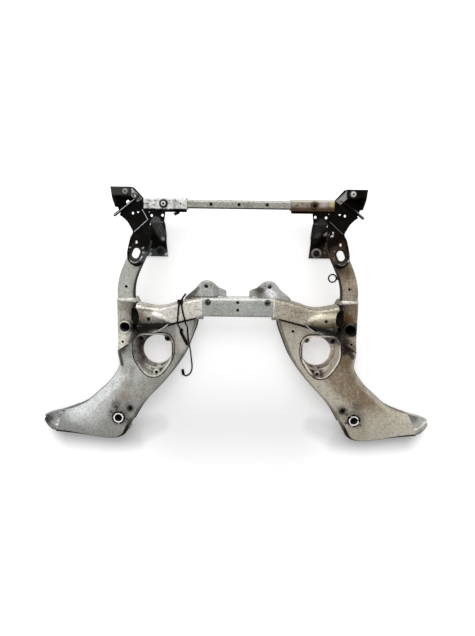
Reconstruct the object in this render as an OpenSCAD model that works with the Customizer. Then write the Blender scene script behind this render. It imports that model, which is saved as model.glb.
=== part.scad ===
// Front subframe of a car, lying as it is fitted: +Y to the front, +Z up, floor at z = 0.
// The mirror plane is x = 0, and every left piece is the right one mirrored. Millimetres.

/* [Centre tube] */
// Length of the extruded centre tube between its two weld seams
cross_len = 188; // [164:1:210]
// Width of the centre tube from front to back
cross_d = 50; // [44:1:56]
// Wall of the centre tube
cross_wall = 5; // [3:0.5:8]
// Axis of the centre tube in front of the plan origin
cross_y = 40; // [34:1:46]
// Distance from each end of the centre tube to its large bolt
bush_edge = 17; // [14:0.5:24]
// Radius of the bush around each large bolt
bush_r = 8.5; // [7:0.5:11]
// Radius of the bolt hole in each bush
bush_bore_r = 4.5; // [3:0.5:6]
// Radius of the two small holes in the middle of the tube
pin_hole_r = 3.5; // [2:0.5:5]

/* [Tubes] */
// Height of the centre tube and of the shoulders
tube_h = 56; // [50:1:64]
// Wall of the shoulders and of the front arms
tube_wall = 4; // [3:0.5:6]
// Corner radius of the tubes
tube_r = 9; // [6.5:0.5:12]
// Width of a front arm
arm_w = 42; // [36:1:46]
// Height of a front arm
arm_h = 42; // [36:1:48]
// Radius of the wall of an arm socket at its mouth
socket_r = 25; // [22:0.5:26.5]
// Wall of an arm socket
socket_wall = 3.5; // [2.5:0.5:5]

/* [Boots] */
// Height of the boots around the mount pocket
boot_h = 72; // [64:1:80]
// Height of the upper shell where it ends at the toe
toe_h = 48; // [42:1:54]
// Sheet of the boot shells
boot_wall = 4; // [3:0.5:5]
// Height of the seam between upper shell and lower tray
seam_z = 24; // [20:1:28]
// Width of the seam lip on the inner side
seam_lip = 4; // [2:0.5:6]
// Width of the rounded flank on the outer side
flank_w = 45; // [36:1:50]
// Radius of the round seat in the mount pocket
seat_r = 42; // [36:0.5:43]
// Height of the pocket rim over the boot
rim_h = 3; // [1:0.5:6]
// Wall of the mount pocket
pocket_wall = 4; // [3:0.5:5]
// Radius of the three bolt lugs in the pocket
lug_r = 9; // [7:0.5:10]
// Radius of the bolt holes in these lugs
lug_bore_r = 4.5; // [3:0.5:6]

/* [Rear body mounts] */
// Distance of each rear body bolt from the mirror plane
body_x = 331; // [324:1:338]
// Radius of the body sleeve
sleeve_r = 15; // [12:0.5:17]
// Radius of the bolt hole in the body sleeve
sleeve_bore_r = 8.5; // [6:0.5:10]
// Radius of the crush ring over its teeth
crush_r = 20; // [18:0.5:24]
// Thickness of the crush ring
crush_t = 3; // [2:0.5:5]
// Number of teeth of the crush ring
crush_teeth = 20; // [12:1:28]

/* [Pivot housings] */
// Height of the pivot housing below the top of the tubes
housing_drop = 6; // [3:1:10]
// Outer radius of the pivot boss
boss_r = 17; // [15:0.5:18]
// Bore of the pivot boss
boss_bore_r = 13; // [10:0.5:14]
// Height of the pivot boss over its housing
boss_rise = 5; // [2:1:9]

/* [Rack lugs] */
// Distance between the two rack bolts
rack_pitch = 164; // [158:1:170]
// Radius of the rack bolt holes
rack_bore_r = 5; // [3.5:0.5:6]
// Height of a rack lug
rack_h = 30; // [24:1:36]

/* [Front brackets] */
// Sheet of the bracket plate and of the leg
plate_t = 5; // [3:0.5:7]
// Sheet of gusset and ear box
sheet_t = 4; // [3:0.5:5]
// Thickness of the rear lip of the bar cradle
cradle_t = 6; // [4:0.5:8]
// Height of the ear box over the bracket plate
ear_h = 32; // [26:1:40]
// Length of the oval hole at the end of the arm
oval_len = 44; // [36:1:48]
// Width of the oval hole at the end of the arm
oval_w = 30; // [26:1:32]
// Radius of the bolt hole in the foot of a leg
foot_bore_r = 5.5; // [4:0.5:7]

/* [Crossbar] */
// Width of the crossbar from front to back
bar_d = 21; // [18:0.5:24]
// Height of the crossbar
bar_h = 30; // [26:1:34]
// Wall of the crossbar
bar_wall = 3; // [2:0.5:4]
// Wall of the sleeves on its ends
bar_sleeve_wall = 3; // [2:0.5:4]
// Length of one sleeve
bar_sleeve_len = 108; // [96:1:120]
// Radius of the holes along the crossbar
bar_hole_r = 4; // [2.5:0.5:6]
// Play between crossbar and sleeve on each side
bar_play = 0.2; // [0.1:0.05:0.4]

/* [Fasteners] */
// Radius of the flange under nuts and bolt heads
flange_r = 9; // [8:0.5:11]
// Width of nuts and bolt heads over the corners, halved
hex_r = 7.5; // [6:0.5:8]
// Height of nuts and bolt heads
hex_h = 7; // [5:0.5:9]

/* [Cables] */
// Radius of the loose cables
cable_r = 2; // [1.5:0.1:2.2]
// Radius of the moulded sleeve on the short cable
cable_sleeve_r = 4; // [3:0.25:4.5]
// Radius of the plug on the long cable
plug_r = 4; // [3:0.25:4.5]

/* [Hidden] */
$fn = 48;

// heights that follow from the sizes above
deck_z = boot_h;
deck_top = deck_z + tube_h;
plate_top = deck_top + plate_t;
ear_top = plate_top + ear_h;
housing_top = deck_top - housing_drop;
housing_z = deck_z - 12;

// plan sizes that follow from the sizes above
cross_front = cross_y + cross_d / 2;
cross_rear = cross_y - cross_d / 2;
bush_pitch = cross_len - 2 * bush_edge;
bush_y = cross_y + 0.28 * cross_d;
shoulder_end = 262;
arm_start = 58;
arm_x = 289.5;

// boot sections: outer rail x, y, inner rail x, y, height of the top, height of the floor
boot_control = [
    [262, 5.4, 112, 7.4, boot_h, 0],
    [312, -42, 114, -22, boot_h, 0],
    [337, -97, 126, -56, boot_h, 0],
    [334, -146, 148, -108, boot_h, 0],
    [360, -190, 180, -157, boot_h, 0],
    [394, -223, 213, -196, boot_h, 0],
    [425, -251, 244, -229, boot_h, 0],
    [440, -260, 272, -264, boot_h, 0],
    [455, -267, 298, -308, boot_h, 0],
    [466, -271, 320, -346, boot_h - 1, 0],
    [476, -275, 365, -357, lerp(boot_h, toe_h, 0.3), 0],
    [486, -278, 445, -351, lerp(boot_h, toe_h, 0.65), 1],
    [495, -281, 522, -346, toe_h, 4]
];
toe_control = [
    [535, -291, 545, -335, toe_h, 9],
    [557, -301, 559, -315, toe_h, 13]
];

// shoulder sections: x, front edge, rear edge, rounding of the upper rear edge
shoulder_control = [
    [cross_len / 2, cross_front, cross_rear, tube_r],
    [116, 60.5, 10, tube_r],
    [138, 56, 4.5, tube_r],
    [163, 48.5, -2, tube_r + 1],
    [186, 40.5, -8.5, tube_r + 5],
    [209, 38, -18, 22],
    [232, 40.5, -28, 30],
    [shoulder_end, 47, -36, 36]
];

// centre line of a front arm in plan
arm_control = [
    [arm_x, arm_start],
    [arm_x, 80],
    [286, 104],
    [279.5, 125],
    [270, 147],
    [259, 170],
    [249, 192],
    [243, 212]
];

// mount pocket, seat centre and bolt lugs in plan
seat_c = [227, -104];
pocket_outline = [
    [175, -62], [191, -43], [265, -43], [282, -60], [284, -110],
    [263, -147], [244, -165], [218, -165], [196, -143], [175, -108]
];
lug_places = [[263, -60], [191, -58], [224, -156]];

// places of the other fittings in plan
body_y = -287;
locator_c = [298, -260];
boss_c = [294, -15];
dimple_c = [228, 10];
oval_c = [259, 177];
plate_hole_c = [258, 205];
foot_c = [216, 175];
rib_places = [205, 213, 221];
ear_bolt_c = [273, 327];
bar_y = 300.5;
bar_bolt_x = 187;
rack_y = cross_front + 29;

// ends of the socket axis, the closed tip and the mouth
socket_tip = [174, 8, deck_top - 12];
socket_mouth = [280, 14, deck_top - 9];
// bullet of the socket: shares of its length and of its radius
socket_shape = [[0, 0.14], [0.075, 0.42], [0.17, 0.64], [0.34, 0.88], [0.5, 0.98], [0.72, 1], [1, 1]];

// crossbar, its sleeves and the cradle under them
bar_top = deck_top;
bar_z = bar_top - bar_h;
sleeve_out = 237;
sleeve_in = sleeve_out - bar_sleeve_len;
sleeve_d = bar_d + 2 * (bar_sleeve_wall + bar_play);
sleeve_z = bar_z - bar_play - bar_sleeve_wall;
sleeve_top = bar_top + bar_play + bar_sleeve_wall;
cradle_rear = bar_y - sleeve_d / 2 - cradle_t;

// bracket outlines in plan
plate_outline = [
    [280, 160], [271, 149], [256, 142], [246, 147], [236, 162], [227, 186], [222, 202],
    [222, cradle_rear], [297, cradle_rear], [288, 266], [277, 255], [263, 230], [271, 218],
    [276, 200], [281, 178]
];
gusset_outline = [[250, 308], [238, 288], [224, 261], [261, 229], [276, 255], [289, 267], [297, 272]];
ear_outline = [
    [sleeve_out, cradle_rear], [297, cradle_rear], [306, 312], [309, 338], [259, 338], [sleeve_out, 314]
];
leg_outline = [
    [183, cradle_rear], [187, 250], [199, 213], [199, 200], [195, 161], [262, 161], [262, 204],
    [240, 246], [222, 248], [222, cradle_rear]
];

// the whole part is shifted so that its box stands over the origin
tray_rear = min([for (s = tray_path()) inner_lip(s).y]);
plan_shift = -(ear_outline[3].y + tray_rear) / 2;

// cable routes: the short one with its sleeve, and the long one with its plug
short_route = [
    [-151, 50, deck_top + 2.3], [-153, 36, deck_top + 2.3], [-154, 20, deck_top + 2.3],
    [-155, 7, deck_top + 2.3], [-155, -3, deck_top - 1], [-155, -12, deck_top - 14],
    [-155, -19, deck_top - 32], [-155, -26, deck_z + 10], [-154, -35, deck_z + 4.8]
];
short_sleeve_route = [[-154, -35, deck_z + 4.8], [-146, -52, deck_z + 4.6], [-135, -74, deck_z + 4]];
long_route = [
    [-145, 50, deck_top + 2.3], [-143, 36, deck_top + 2.3], [-140, 20, deck_top + 2.3],
    [-137, 10, deck_top + 2.3], [-136, 1, deck_top - 1], [-135, -8, deck_top - 14],
    [-135, -15, deck_top - 32], [-135, -22, deck_z + 11], [-135, -33, deck_z + 3.4],
    [-134, -50, deck_z + 2.2], [-132, -66, deck_z - 0.4], [-131, -84, deck_z - 15],
    [-131, -106, 32], [-131, -130, 12], [-130, -150, 3.2], [-131, -166, 2.4], [-137, -178, 2.4],
    [-147, -184, 2.4], [-154, -181, 3.4]
];
plug_route = [[-154, -181, 4.3], [-156, -174, 4.6], [-157, -164, 4.6]];
// stub of the loom that the clip holds in front
clip_tail = [
    [-146, 56, deck_top + 2.5], [-143, 62, deck_top - 0.5], [-139, 68, deck_top - 9], [-136, 72, deck_top - 18]
];

// curves and outlines

function lerp(a, b, t) = a + (b - a) * t;

// point on a smooth curve between b and c, with a before and d after them
function spline_at(a, b, c, d, t) =
    0.5 * (2 * b + (c - a) * t + (2 * a - 5 * b + 4 * c - d) * t * t
    + (3 * b - a - 3 * c + d) * t * t * t);

// smooth curve through the points of p, with n steps from each to the next
function spline(p, n) = concat(
    [for (i = [0:len(p) - 2]) for (k = [0:n - 1])
        spline_at(p[max(i - 1, 0)], p[i], p[i + 1], p[min(i + 2, len(p) - 1)], k / n)],
    [p[len(p) - 1]]
);

// outline with its corners rounded over the length r
function rounded(p, r, n = 4) = [
    for (i = [0:len(p) - 1])
    let (
        a = p[(i + len(p) - 1) % len(p)] - p[i],
        b = p[(i + 1) % len(p)] - p[i],
        s = p[i] + a / norm(a) * min(r, norm(a) / 2.1),
        e = p[i] + b / norm(b) * min(r, norm(b) / 2.1)
    )
    for (k = [0:n])
    let (t = k / n)
    (1 - t) * (1 - t) * s + 2 * t * (1 - t) * p[i] + t * t * e
];

// outline moved towards the point c by about the length d
function shrunk(p, c, d) = [for (q = p) c + (q - c) * (1 - d / norm(q - c))];

// quarter of an ellipse from the angle a on
function corner(c, ru, rv, a, n) =
    [for (k = [0:n]) [c.x + ru * cos(a + 90 * k / n), c.y + rv * sin(a + 90 * k / n)]];

// box section with rounded corners, its upper left corner with a radius q of its own
function box_section(u0, u1, v0, v1, r, q, n = 3) = concat(
    corner([u0 + r, v0 + r], r, r, 180, n),
    corner([u1 - r, v0 + r], r, r, 270, n),
    corner([u1 - r, v1 - r], r, r, 0, n),
    corner([u0 + q, v1 - q], q, q, 90, n)
);

// slot outline of the given length along y and width along x
function slot(len_y, w, n = 10) = concat(
    [for (k = [0:n]) [w / 2 * cos(180 * k / n), (len_y - w) / 2 + w / 2 * sin(180 * k / n)]],
    [for (k = [0:n]) [-w / 2 * cos(180 * k / n), -(len_y - w) / 2 - w / 2 * sin(180 * k / n)]]
);

// end of a skin: one face, or a strip of faces across a ring that runs out and back
function cap(n, folded) = folded
    ? [for (i = [0:n / 2 - 2]) [i, i + 1, n - 2 - i, n - 1 - i]]
    : [[for (i = [0:n - 1]) i]];

// solid through a list of closed rings that all have the same number of points
module skin(rings, folded = false) {
    n = len(rings[0]);
    m = len(rings);
    first = cap(n, folded);
    polyhedron(
        points = [for (r = rings) each r],
        faces = concat(
            first,
            [for (f = first) [for (i = reversed(f)) (m - 1) * n + i]],
            [for (k = [0:m - 2]) for (i = [0:n - 1]) [k * n + i, (k + 1) * n + i, (k + 1) * n + (i + 1) % n]],
            [for (k = [0:m - 2]) for (i = [0:n - 1]) [k * n + i, (k + 1) * n + (i + 1) % n, k * n + (i + 1) % n]]
        ),
        convexity = 6
    );
}

// prism over an outline between two heights
module prism(outline, z0, z1) {
    translate([0, 0, z0])
        linear_extrude(height = z1 - z0)
            polygon(outline);
}

// round pin or hole standing on z0
module pin(c, r, z0, z1) {
    translate([c.x, c.y, z0])
        cylinder(h = z1 - z0, r = r);
}

// hexagonal head with its flange, standing on the floor of its own frame
module hex_head() {
    difference() {
        union() {
            cylinder(h = 2, r = flange_r);
            cylinder(h = hex_h, r = hex_r, $fn = 6);
        }
        translate([0, 0, hex_h - 3])
            cylinder(h = 4, r = hex_r * 0.45);
    }
}

// round bar along a route
function route_tangent(p, i) =
    let (d = p[min(i + 1, len(p) - 1)] - p[max(i - 1, 0)])
    d / norm(d);
function route_ring(p, i, r, n) =
    let (t = route_tangent(p, i), e = cross(t, [1, 0.2, 0]), a = e / norm(e), b = cross(t, a))
    [for (k = [0:n - 1]) p[i] + r * (a * cos(360 * k / n) + b * sin(360 * k / n))];
module round_bar(p, r, n = 8) {
    skin([for (i = [0:len(p) - 1]) route_ring(p, i, r, n)]);
}

// the right piece as it is, or its mirror image for the left side
module side(s) {
    if (s > 0)
        children();
    else
        mirror([1, 0, 0])
            children();
}

module place() {
    translate([0, plan_shift, 0])
        children();
}

// boot sections: s is a section, t how far a skin lies inside the sheet

function boot_path() = spline(boot_control, 2);
function tray_path() = spline(concat(boot_control, toe_control), 2);
function rail_out(s) = [s[0], s[1]];
function rail_in(s) = [s[2], s[3]];
function rail_w(s) = norm(rail_in(s) - rail_out(s));
function rail_dir(s) = (rail_in(s) - rail_out(s)) / rail_w(s);
function inner_lip(s) = rail_in(s) + rail_dir(s) * seam_lip;
function on_section(s, uz) =
    let (p = rail_out(s) + rail_dir(s) * uz.x)
    [p.x, p.y, uz.y];

// arch of the upper shell from the outer rail over the top to the inner rail
function arch(s, t) =
    let (w = rail_w(s), top = min(s[4], boot_h), ao = min(flank_w, w * 0.4), ai = min(14, w * 0.2), rv = min(22, (top - seam_z) * 0.6))
    concat(
        [for (k = [0:6]) [t + (ao - t) * (1 - cos(15 * k)), seam_z + (top - t - seam_z) * sin(15 * k)]],
        [for (k = [3:-1:0]) [w - t - (ai - t) * (1 - cos(30 * k)), top - rv + (rv - t) * sin(30 * k)]],
        [[w - t, seam_z]]
    );

// trough of the lower tray from the outer rail to the inner rail
function trough_z(s) = max(s[5], 0);
function trough_r(s) = min(14, seam_z - 4 - trough_z(s), rail_w(s) * 0.4);
function trough(s, t) =
    let (w = rail_w(s), r = trough_r(s), q = max(r - t, 0.5), z = trough_z(s) + t)
    concat(
        [for (k = [0:4]) [t + q * (1 - cos(22.5 * k)), z + q * (1 - sin(22.5 * k))]],
        [for (k = [4:-1:0]) [w - t - q * (1 - cos(22.5 * k)), z + q * (1 - sin(22.5 * k))]]
    );
function reversed(p) = [for (i = [len(p) - 1:-1:0]) p[i]];
function shell_ring(s) =
    [for (q = concat(arch(s, 0), reversed(arch(s, boot_wall)))) on_section(s, q)];
function tray_ring(s) =
    let (w = rail_w(s), t = min(boot_wall, w * 0.3), lip = seam_z - 3.5, o = seam_lip / 4)
    [for (q = concat(
        [[-o, seam_z], [t, seam_z]], trough(s, t), [[w - t, seam_z], [w + seam_lip, seam_z]],
        [[w + seam_lip, lip], [w, lip]], reversed(trough(s, 0)), [[0, lip], [-o, lip]]
    )) on_section(s, q)];
function solid_ring(s) = [for (q = arch(s, 0)) on_section(s, q)];
function end_ring(s, y) =
    [for (q = concat(arch(s, 0), reversed(trough(s, 0)))) on_section(s, q) + [0, y, 0]];

// plain solids that neighbouring pieces are fitted to

module boot_solid() {
    skin([for (s = boot_path()) solid_ring(s)]);
}

function shoulder_ring(s, t) =
    [for (q = box_section(s[2] + t, s[1] - t, deck_z + t, deck_top - t, max(tube_r - t, 1), max(s[3] - t, 1)))
        [s[0], q.x, q.y]];
module shoulder_solid() {
    skin([for (s = spline(shoulder_control, 2)) shoulder_ring(s, 0)]);
}

function arm_tangent(p, i) =
    i == 0 ? [0, 1] : (let (d = p[min(i + 1, len(p) - 1)] - p[i - 1]) d / norm(d));
function arm_ring(p, i, t) =
    let (d = arm_tangent(p, i), u = [-d.y, d.x], h = arm_w / 2 - t)
    [for (q = box_section(-h, h, deck_top - arm_h + t, deck_top - t, max(tube_r - t, 1), max(tube_r - t, 1), 2))
        [p[i].x + u.x * q.x, p[i].y + u.y * q.x, q.y]];
module arm_solid(t = 0) {
    p = spline(arm_control, 2);
    skin([for (i = [0:len(p) - 1]) arm_ring(p, i, t)]);
}

module cross_solid(t = 0, over = 0) {
    translate([-cross_len / 2 - over, 0, 0])
        rotate([90, 0, 90])
            linear_extrude(height = cross_len + 2 * over)
                polygon(box_section(cross_rear + t, cross_front - t, deck_z + t, deck_top - t,
                    max(tube_r - t, 1), max(tube_r - t, 1), 4));
}

module socket_cone(t) {
    d = socket_mouth - socket_tip;
    side = [
        for (p = socket_shape)
        if (p[1] * socket_r > t + 3) [p[1] * socket_r - t, p[0] * norm(d) + 0.7 * t + (p[0] == 1 && t > 0 ? 1 : 0)]
    ];
    translate(socket_tip)
        rotate([0, 90 - asin(d.z / norm(d)), atan2(d.y, d.x)])
            rotate_extrude($fn = 32)
                polygon(concat([[0, side[0].y]], side, [[0, side[len(side) - 1].y]]));
}

// light alloy pieces, right side

module center_crossmember() {
    color([0.72, 0.74, 0.77])
        difference() {
            cross_solid();
            cross_solid(cross_wall, 1);
            for (x = [-1, 1])
                pin([x * bush_pitch / 2, bush_y], bush_r, deck_z - 1, deck_top + 1);
            for (y = [0.28, -0.12])
                pin([0, cross_y + y * cross_d], pin_hole_r, deck_top - cross_wall - 1, deck_top + 1);
        }
}

module center_bush() {
    color([0.6, 0.61, 0.62])
        difference() {
            pin([bush_pitch / 2, bush_y], bush_r, deck_z, deck_top + 1);
            pin([bush_pitch / 2, bush_y], bush_bore_r, deck_z - 1, deck_top + 2);
        }
}

module shoulder() {
    color([0.7, 0.68, 0.63])
        difference() {
            shoulder_solid();
            skin([
                for (s = spline(shoulder_control, 2))
                shoulder_ring(
                    s[0] < cross_len / 2 + 0.1 ? [s[0] - 1, s[1], s[2], s[3]]
                    : s[0] > shoulder_end - 0.1 ? [s[0] + 1, s[1], s[2], s[3]] : s,
                    tube_wall
                )
            ]);
            socket_cone(0);
        }
}

module arm_socket() {
    color([0.72, 0.7, 0.65])
        difference() {
            socket_cone(0);
            socket_cone(socket_wall);
            translate([socket_mouth.x - 30, 0, socket_mouth.z + socket_r])
                rotate([0, -33, 0])
                    translate([0, -40, -80])
                        cube([60, 140, 160]);
            pin(dimple_c, 3.5, deck_top - 5, deck_top + 40);
            pin(dimple_c, 7.5, socket_mouth.z + socket_r - 3.5, deck_top + 40);
        }
}

module pivot_housing() {
    wall_in = boss_c.x - boss_r - 3;
    wall_out = boss_c.x + boss_r + 1.5;
    outline = [
        [shoulder_end, 46], [arm_x - arm_w / 2, arm_start], [wall_out, arm_start], [wall_out, -46],
        [wall_out + 3, -80], [300, -69], [277, -54], [wall_in, -40], [wall_in, -9], [shoulder_end, -5]
    ];
    color([0.66, 0.64, 0.6])
        difference() {
            prism(outline, housing_z, housing_top);
            boot_solid();
            socket_cone(0);
            pin(boss_c, boss_r, housing_z - 1, housing_top + 1);
            translate([shoulder_end, -3, deck_z + 20])
                rotate([0, -34, 0])
                    translate([-20, 0, 0])
                        cube([90, 54, 60]);
            pin([301, -55], 3.5, housing_z - 1, housing_top + 1);
        }
}

module pivot_boss() {
    color([0.62, 0.61, 0.58])
        difference() {
            pin(boss_c, boss_r, deck_z, housing_top + boss_rise);
            pin(boss_c, boss_bore_r, deck_z + 6, housing_top + boss_rise + 1);
        }
}

module front_arm() {
    color([0.72, 0.7, 0.65])
        difference() {
            arm_solid();
            difference() {
                arm_solid(tube_wall);
                translate([arm_x - 60, arm_start - 1, deck_z])
                    cube([120, 1, 80]);
            }
            translate([oval_c.x, oval_c.y, 0])
                rotate([0, 0, 24])
                    prism(slot(oval_len - 17, oval_w - 12), deck_top - arm_h / 2, deck_top + 1);
            translate([oval_c.x + 4, oval_c.y, 0])
                rotate([0, 0, 24])
                    prism(slot(oval_len - 8, oval_w), deck_top - arm_h - 1, deck_top - arm_h / 2);
            pin([286, 92], 4, deck_top - tube_wall - 1, deck_top + 1);
            pin(plate_hole_c, 4, deck_top - arm_h / 2, deck_top + 1);
            pin(plate_hole_c + [7, -1], 8, deck_top - arm_h - 1, deck_top - arm_h / 2);
        }
}

module boot_upper() {
    color([0.7, 0.69, 0.65])
        difference() {
            skin([for (s = boot_path()) shell_ring(s)], folded = true);
            prism(rounded(pocket_outline, 14), seam_z - 1, boot_h + 1);
            pin([body_x, body_y], sleeve_r, boot_h / 2, boot_h + 1);
            pin(locator_c, 4, boot_h / 2, boot_h + 1);
            pin(locator_c, 11, boot_h - 1.5, boot_h + 1);
            pin([151, -32], 4, boot_h / 2, boot_h + 1);
        }
}

module boot_lower() {
    color([0.66, 0.65, 0.61])
        difference() {
            skin([for (s = tray_path()) tray_ring(s)], folded = true);
            prism(rounded(pocket_outline, 14), -1, seam_z + 1);
            pin([body_x, body_y], sleeve_bore_r + 2, -1, seam_z);
        }
}

module boot_end() {
    s = boot_control[0];
    color([0.66, 0.65, 0.61])
        union() {
            skin([end_ring(s, boot_wall), end_ring(s, 0)]);
            prism([[92, 14], [122, 14], [122, 8], [111.8, 8], [111.5, -2], [92, -2]], boot_h - 8, boot_h);
        }
}

module mount_pocket() {
    wall_line = rounded(pocket_outline, 14);
    hollow = shrunk(wall_line, seat_c, pocket_wall);
    color([0.6, 0.55, 0.48])
        difference() {
            union() {
                difference() {
                    prism(wall_line, 0, boot_h + rim_h);
                    prism(hollow, 6, boot_h + rim_h + 1);
                }
                intersection() {
                    prism(wall_line, 0, boot_h);
                    union() {
                        for (c = lug_places)
                            pin(c, lug_r, 3, 60);
                        prism([[186, -132], [266, -132], [250, -170], [206, -170]], 40, 46);
                    }
                }
            }
            pin(seat_c, seat_r, -1, boot_h + 10);
            for (c = lug_places)
                pin(c, lug_bore_r, 20, 61);
            for (x = [-13, 13])
                translate([lug_places[2].x + x, lug_places[2].y + 6, 40])
                    rotate([0, 0, x > 0 ? 30 : -30])
                        cube([12, 5, 20], center = true);
        }
}

module body_sleeve() {
    color([0.62, 0.62, 0.6])
        difference() {
            pin([body_x, body_y], sleeve_r, boot_wall, boot_h);
            pin([body_x, body_y], sleeve_bore_r, 0, boot_h + 1);
        }
}

module crush_ring() {
    teeth = [
        for (k = [0:2 * crush_teeth - 1])
        let (r = k % 2 == 0 ? crush_r : crush_r - 3.5, a = 180 * k / crush_teeth)
        [body_x + r * cos(a), body_y + r * sin(a)]
    ];
    color([0.82, 0.82, 0.82])
        difference() {
            prism(teeth, boot_h, boot_h + crush_t);
            pin([body_x, body_y], sleeve_bore_r + 1.5, boot_h - 1, boot_h + crush_t + 1);
        }
}

module rack_lug() {
    c = [rack_pitch / 2, rack_y];
    z = deck_top - 10 - rack_h;
    outline = [
        [30, cross_front - 8], [30, 81], [50, 88], [c.x - 21, c.y + 5], [c.x - 12, c.y + 11], [c.x, c.y + 13],
        [c.x + 12, c.y + 11], [c.x + 20, c.y + 3], [112, 84], [140, 61], [140, cross_front - 20]
    ];
    profile = [
        [24, z], [146, z], [146, z + rack_h * 0.35], [c.x + 19, z + rack_h], [c.x - 19, z + rack_h],
        [50, z + rack_h * 0.55], [24, z + rack_h * 0.5]
    ];
    color([0.74, 0.74, 0.74])
        difference() {
            intersection() {
                prism(rounded(outline, 5, 3), z, z + rack_h);
                translate([0, 140, 0])
                    rotate([90, 0, 0])
                        linear_extrude(height = 140)
                            polygon(profile);
            }
            cross_solid();
            shoulder_solid();
            pin(c, rack_bore_r, z - 1, z + rack_h + 1);
            pin(c, rack_bore_r + 3.5, z + rack_h - 2, z + rack_h + 1);
        }
}

// black steel pieces, right side

module bracket_plate(window) {
    color([0.08, 0.08, 0.08])
        difference() {
            prism(rounded(plate_outline, 6, 3), deck_top, plate_top);
            translate([oval_c.x + 1, oval_c.y - 4, 0])
                rotate([0, 0, 24])
                    prism(slot(oval_len, oval_w), deck_top - 1, plate_top + 1);
            pin(plate_hole_c, 4.5, deck_top - 1, plate_top + 1);
            if (window)
                prism(rounded([[226.5, 222], [240, 236], [227, 238]], 3, 3), deck_top - 1, plate_top + 1);
            for (p = [[250, 280], [263, 276]])
                pin(p, 3.5, deck_top - 1, plate_top + 1);
        }
}

module gusset() {
    color([0.1, 0.1, 0.1])
        difference() {
            prism(rounded(gusset_outline, 3, 2), plate_top, plate_top + sheet_t);
            for (p = [[250, 280], [263, 276]])
                pin(p, 3.5, plate_top - 1, plate_top + sheet_t + 1);
        }
}

module finger() {
    strip = [[248, 312], [300, 272], [306, 267], [310, 269], [308, 274], [251, 317]];
    color([0.12, 0.12, 0.12])
        prism(rounded(strip, 3, 3), plate_top + sheet_t, plate_top + sheet_t + 7);
}

module ear_box() {
    wall_out = [
        [309, 338], [306, 312], [299.1, 290], [299.1 - sheet_t, 291], [306 - sheet_t, 313], [309 - sheet_t, 338]
    ];
    color([0.09, 0.09, 0.09])
        difference() {
            union() {
                prism(ear_outline, deck_top, plate_top);
                prism(wall_out, deck_top, ear_top);
                translate([259, 338 - sheet_t, deck_top])
                    cube([50, sheet_t, ear_top - deck_top]);
                prism([[259, 338], [309, 338], [307, 318], [259, 318]], ear_top - sheet_t, ear_top);
            }
            pin(ear_bolt_c, hex_r * 0.45, ear_top - sheet_t - 1, ear_top + 1);
            pin([275, 303], 5, deck_top - 1, plate_top + 1);
        }
}

module ear_brace() {
    color([0.7, 0.7, 0.72])
        difference() {
            skin([
                for (e = [[sleeve_out + 7, 307, plate_top - 1], [264, 330, ear_top - sheet_t - 1]])
                [for (q = [[5.4, -4.5, 0], [-5.4, 4.5, 0], [-5.4, 4.5, sheet_t], [5.4, -4.5, sheet_t]]) e + q]
            ]);
            ear_box();
            gusset();
            finger();
        }
}

module leg_rib(x, low, high) {
    along = (high - low) / norm(high - low);
    out = [-along.y, along.x];
    skin([
        for (share = [0.16, 0.84])
        let (c = low + (high - low) * share)
        [for (q = [[-1.5, 2.5], [1.5, 2.5], [2.5, -1], [-2.5, -1]])
            [x + q.x, c.x + out.x * q.y, c.y + out.y * q.y]]
    ]);
}

module front_leg() {
    flat = cradle_rear - 25;
    profile = [
        [160, 0], [216, 0], [flat + 2, deck_top], [cradle_rear, deck_top], [cradle_rear, plate_top],
        [flat - 1, plate_top], [213, plate_t], [160, plate_t]
    ];
    color([0.1, 0.1, 0.11])
        difference() {
            union() {
                intersection() {
                    prism(leg_outline, -1, plate_top + 1);
                    translate([170, 0, 0])
                        rotate([90, 0, 90])
                            linear_extrude(height = 90)
                                polygon(profile);
                }
                translate([203, 0, 0])
                    rotate([90, 0, 90])
                        linear_extrude(height = sheet_t)
                            polygon([[213, 0], [225, 0], [cradle_rear, deck_top - 26], [cradle_rear, deck_top], [flat, deck_top]]);
                for (x = rib_places)
                    leg_rib(x, [213, plate_t], [flat - 1, plate_top]);
            }
            pin(foot_c, foot_bore_r, -1, plate_t + 1);
            for (p = [[217, 271], [190, 272], [194, 254]])
                pin(p, 3.5, deck_top - 12, plate_top + 1);
        }
}

module bar_cradle() {
    color([0.09, 0.09, 0.09])
        difference() {
            translate([sleeve_in + 4, 0, 0])
                rotate([90, 0, 90])
                    linear_extrude(height = sleeve_out - sleeve_in + 20)
                        polygon([
                            [cradle_rear, sleeve_z - sheet_t], [bar_y + sleeve_d / 2, sleeve_z - sheet_t],
                            [bar_y + sleeve_d / 2, sleeve_z], [cradle_rear + cradle_t, sleeve_z],
                            [cradle_rear + cradle_t, deck_top], [cradle_rear, deck_top]
                        ]);
            translate([sleeve_in, cradle_rear - 1, deck_top - 10])
                cube([40, cradle_t + 2, 20]);
        }
}

module bar_sleeve() {
    color([0.75, 0.74, 0.72])
        difference() {
            translate([sleeve_in, bar_y - sleeve_d / 2, sleeve_z])
                cube([bar_sleeve_len, sleeve_d, sleeve_top - sleeve_z]);
            translate([sleeve_in - 1, bar_y - bar_d / 2 - bar_play, bar_z - bar_play])
                cube([bar_sleeve_len + 2, bar_d + 2 * bar_play, bar_h + 2 * bar_play]);
            pin([sleeve_in + 16, bar_y], 2.5, bar_top - 1, sleeve_top + 1);
        }
}

module crossbar() {
    color([0.66, 0.65, 0.6])
        difference() {
            translate([-sleeve_out, bar_y - bar_d / 2, bar_z])
                cube([2 * sleeve_out, bar_d, bar_h]);
            translate([-sleeve_out - 1, bar_y - bar_d / 2 + bar_wall, bar_z + bar_wall])
                cube([2 * sleeve_out + 2, bar_d - 2 * bar_wall, bar_h - 2 * bar_wall]);
            for (x = [-70, 0, 70])
                pin([x, bar_y], bar_hole_r, bar_top - bar_wall - 1, bar_top + 1);
        }
}

// fasteners and small fittings

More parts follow.
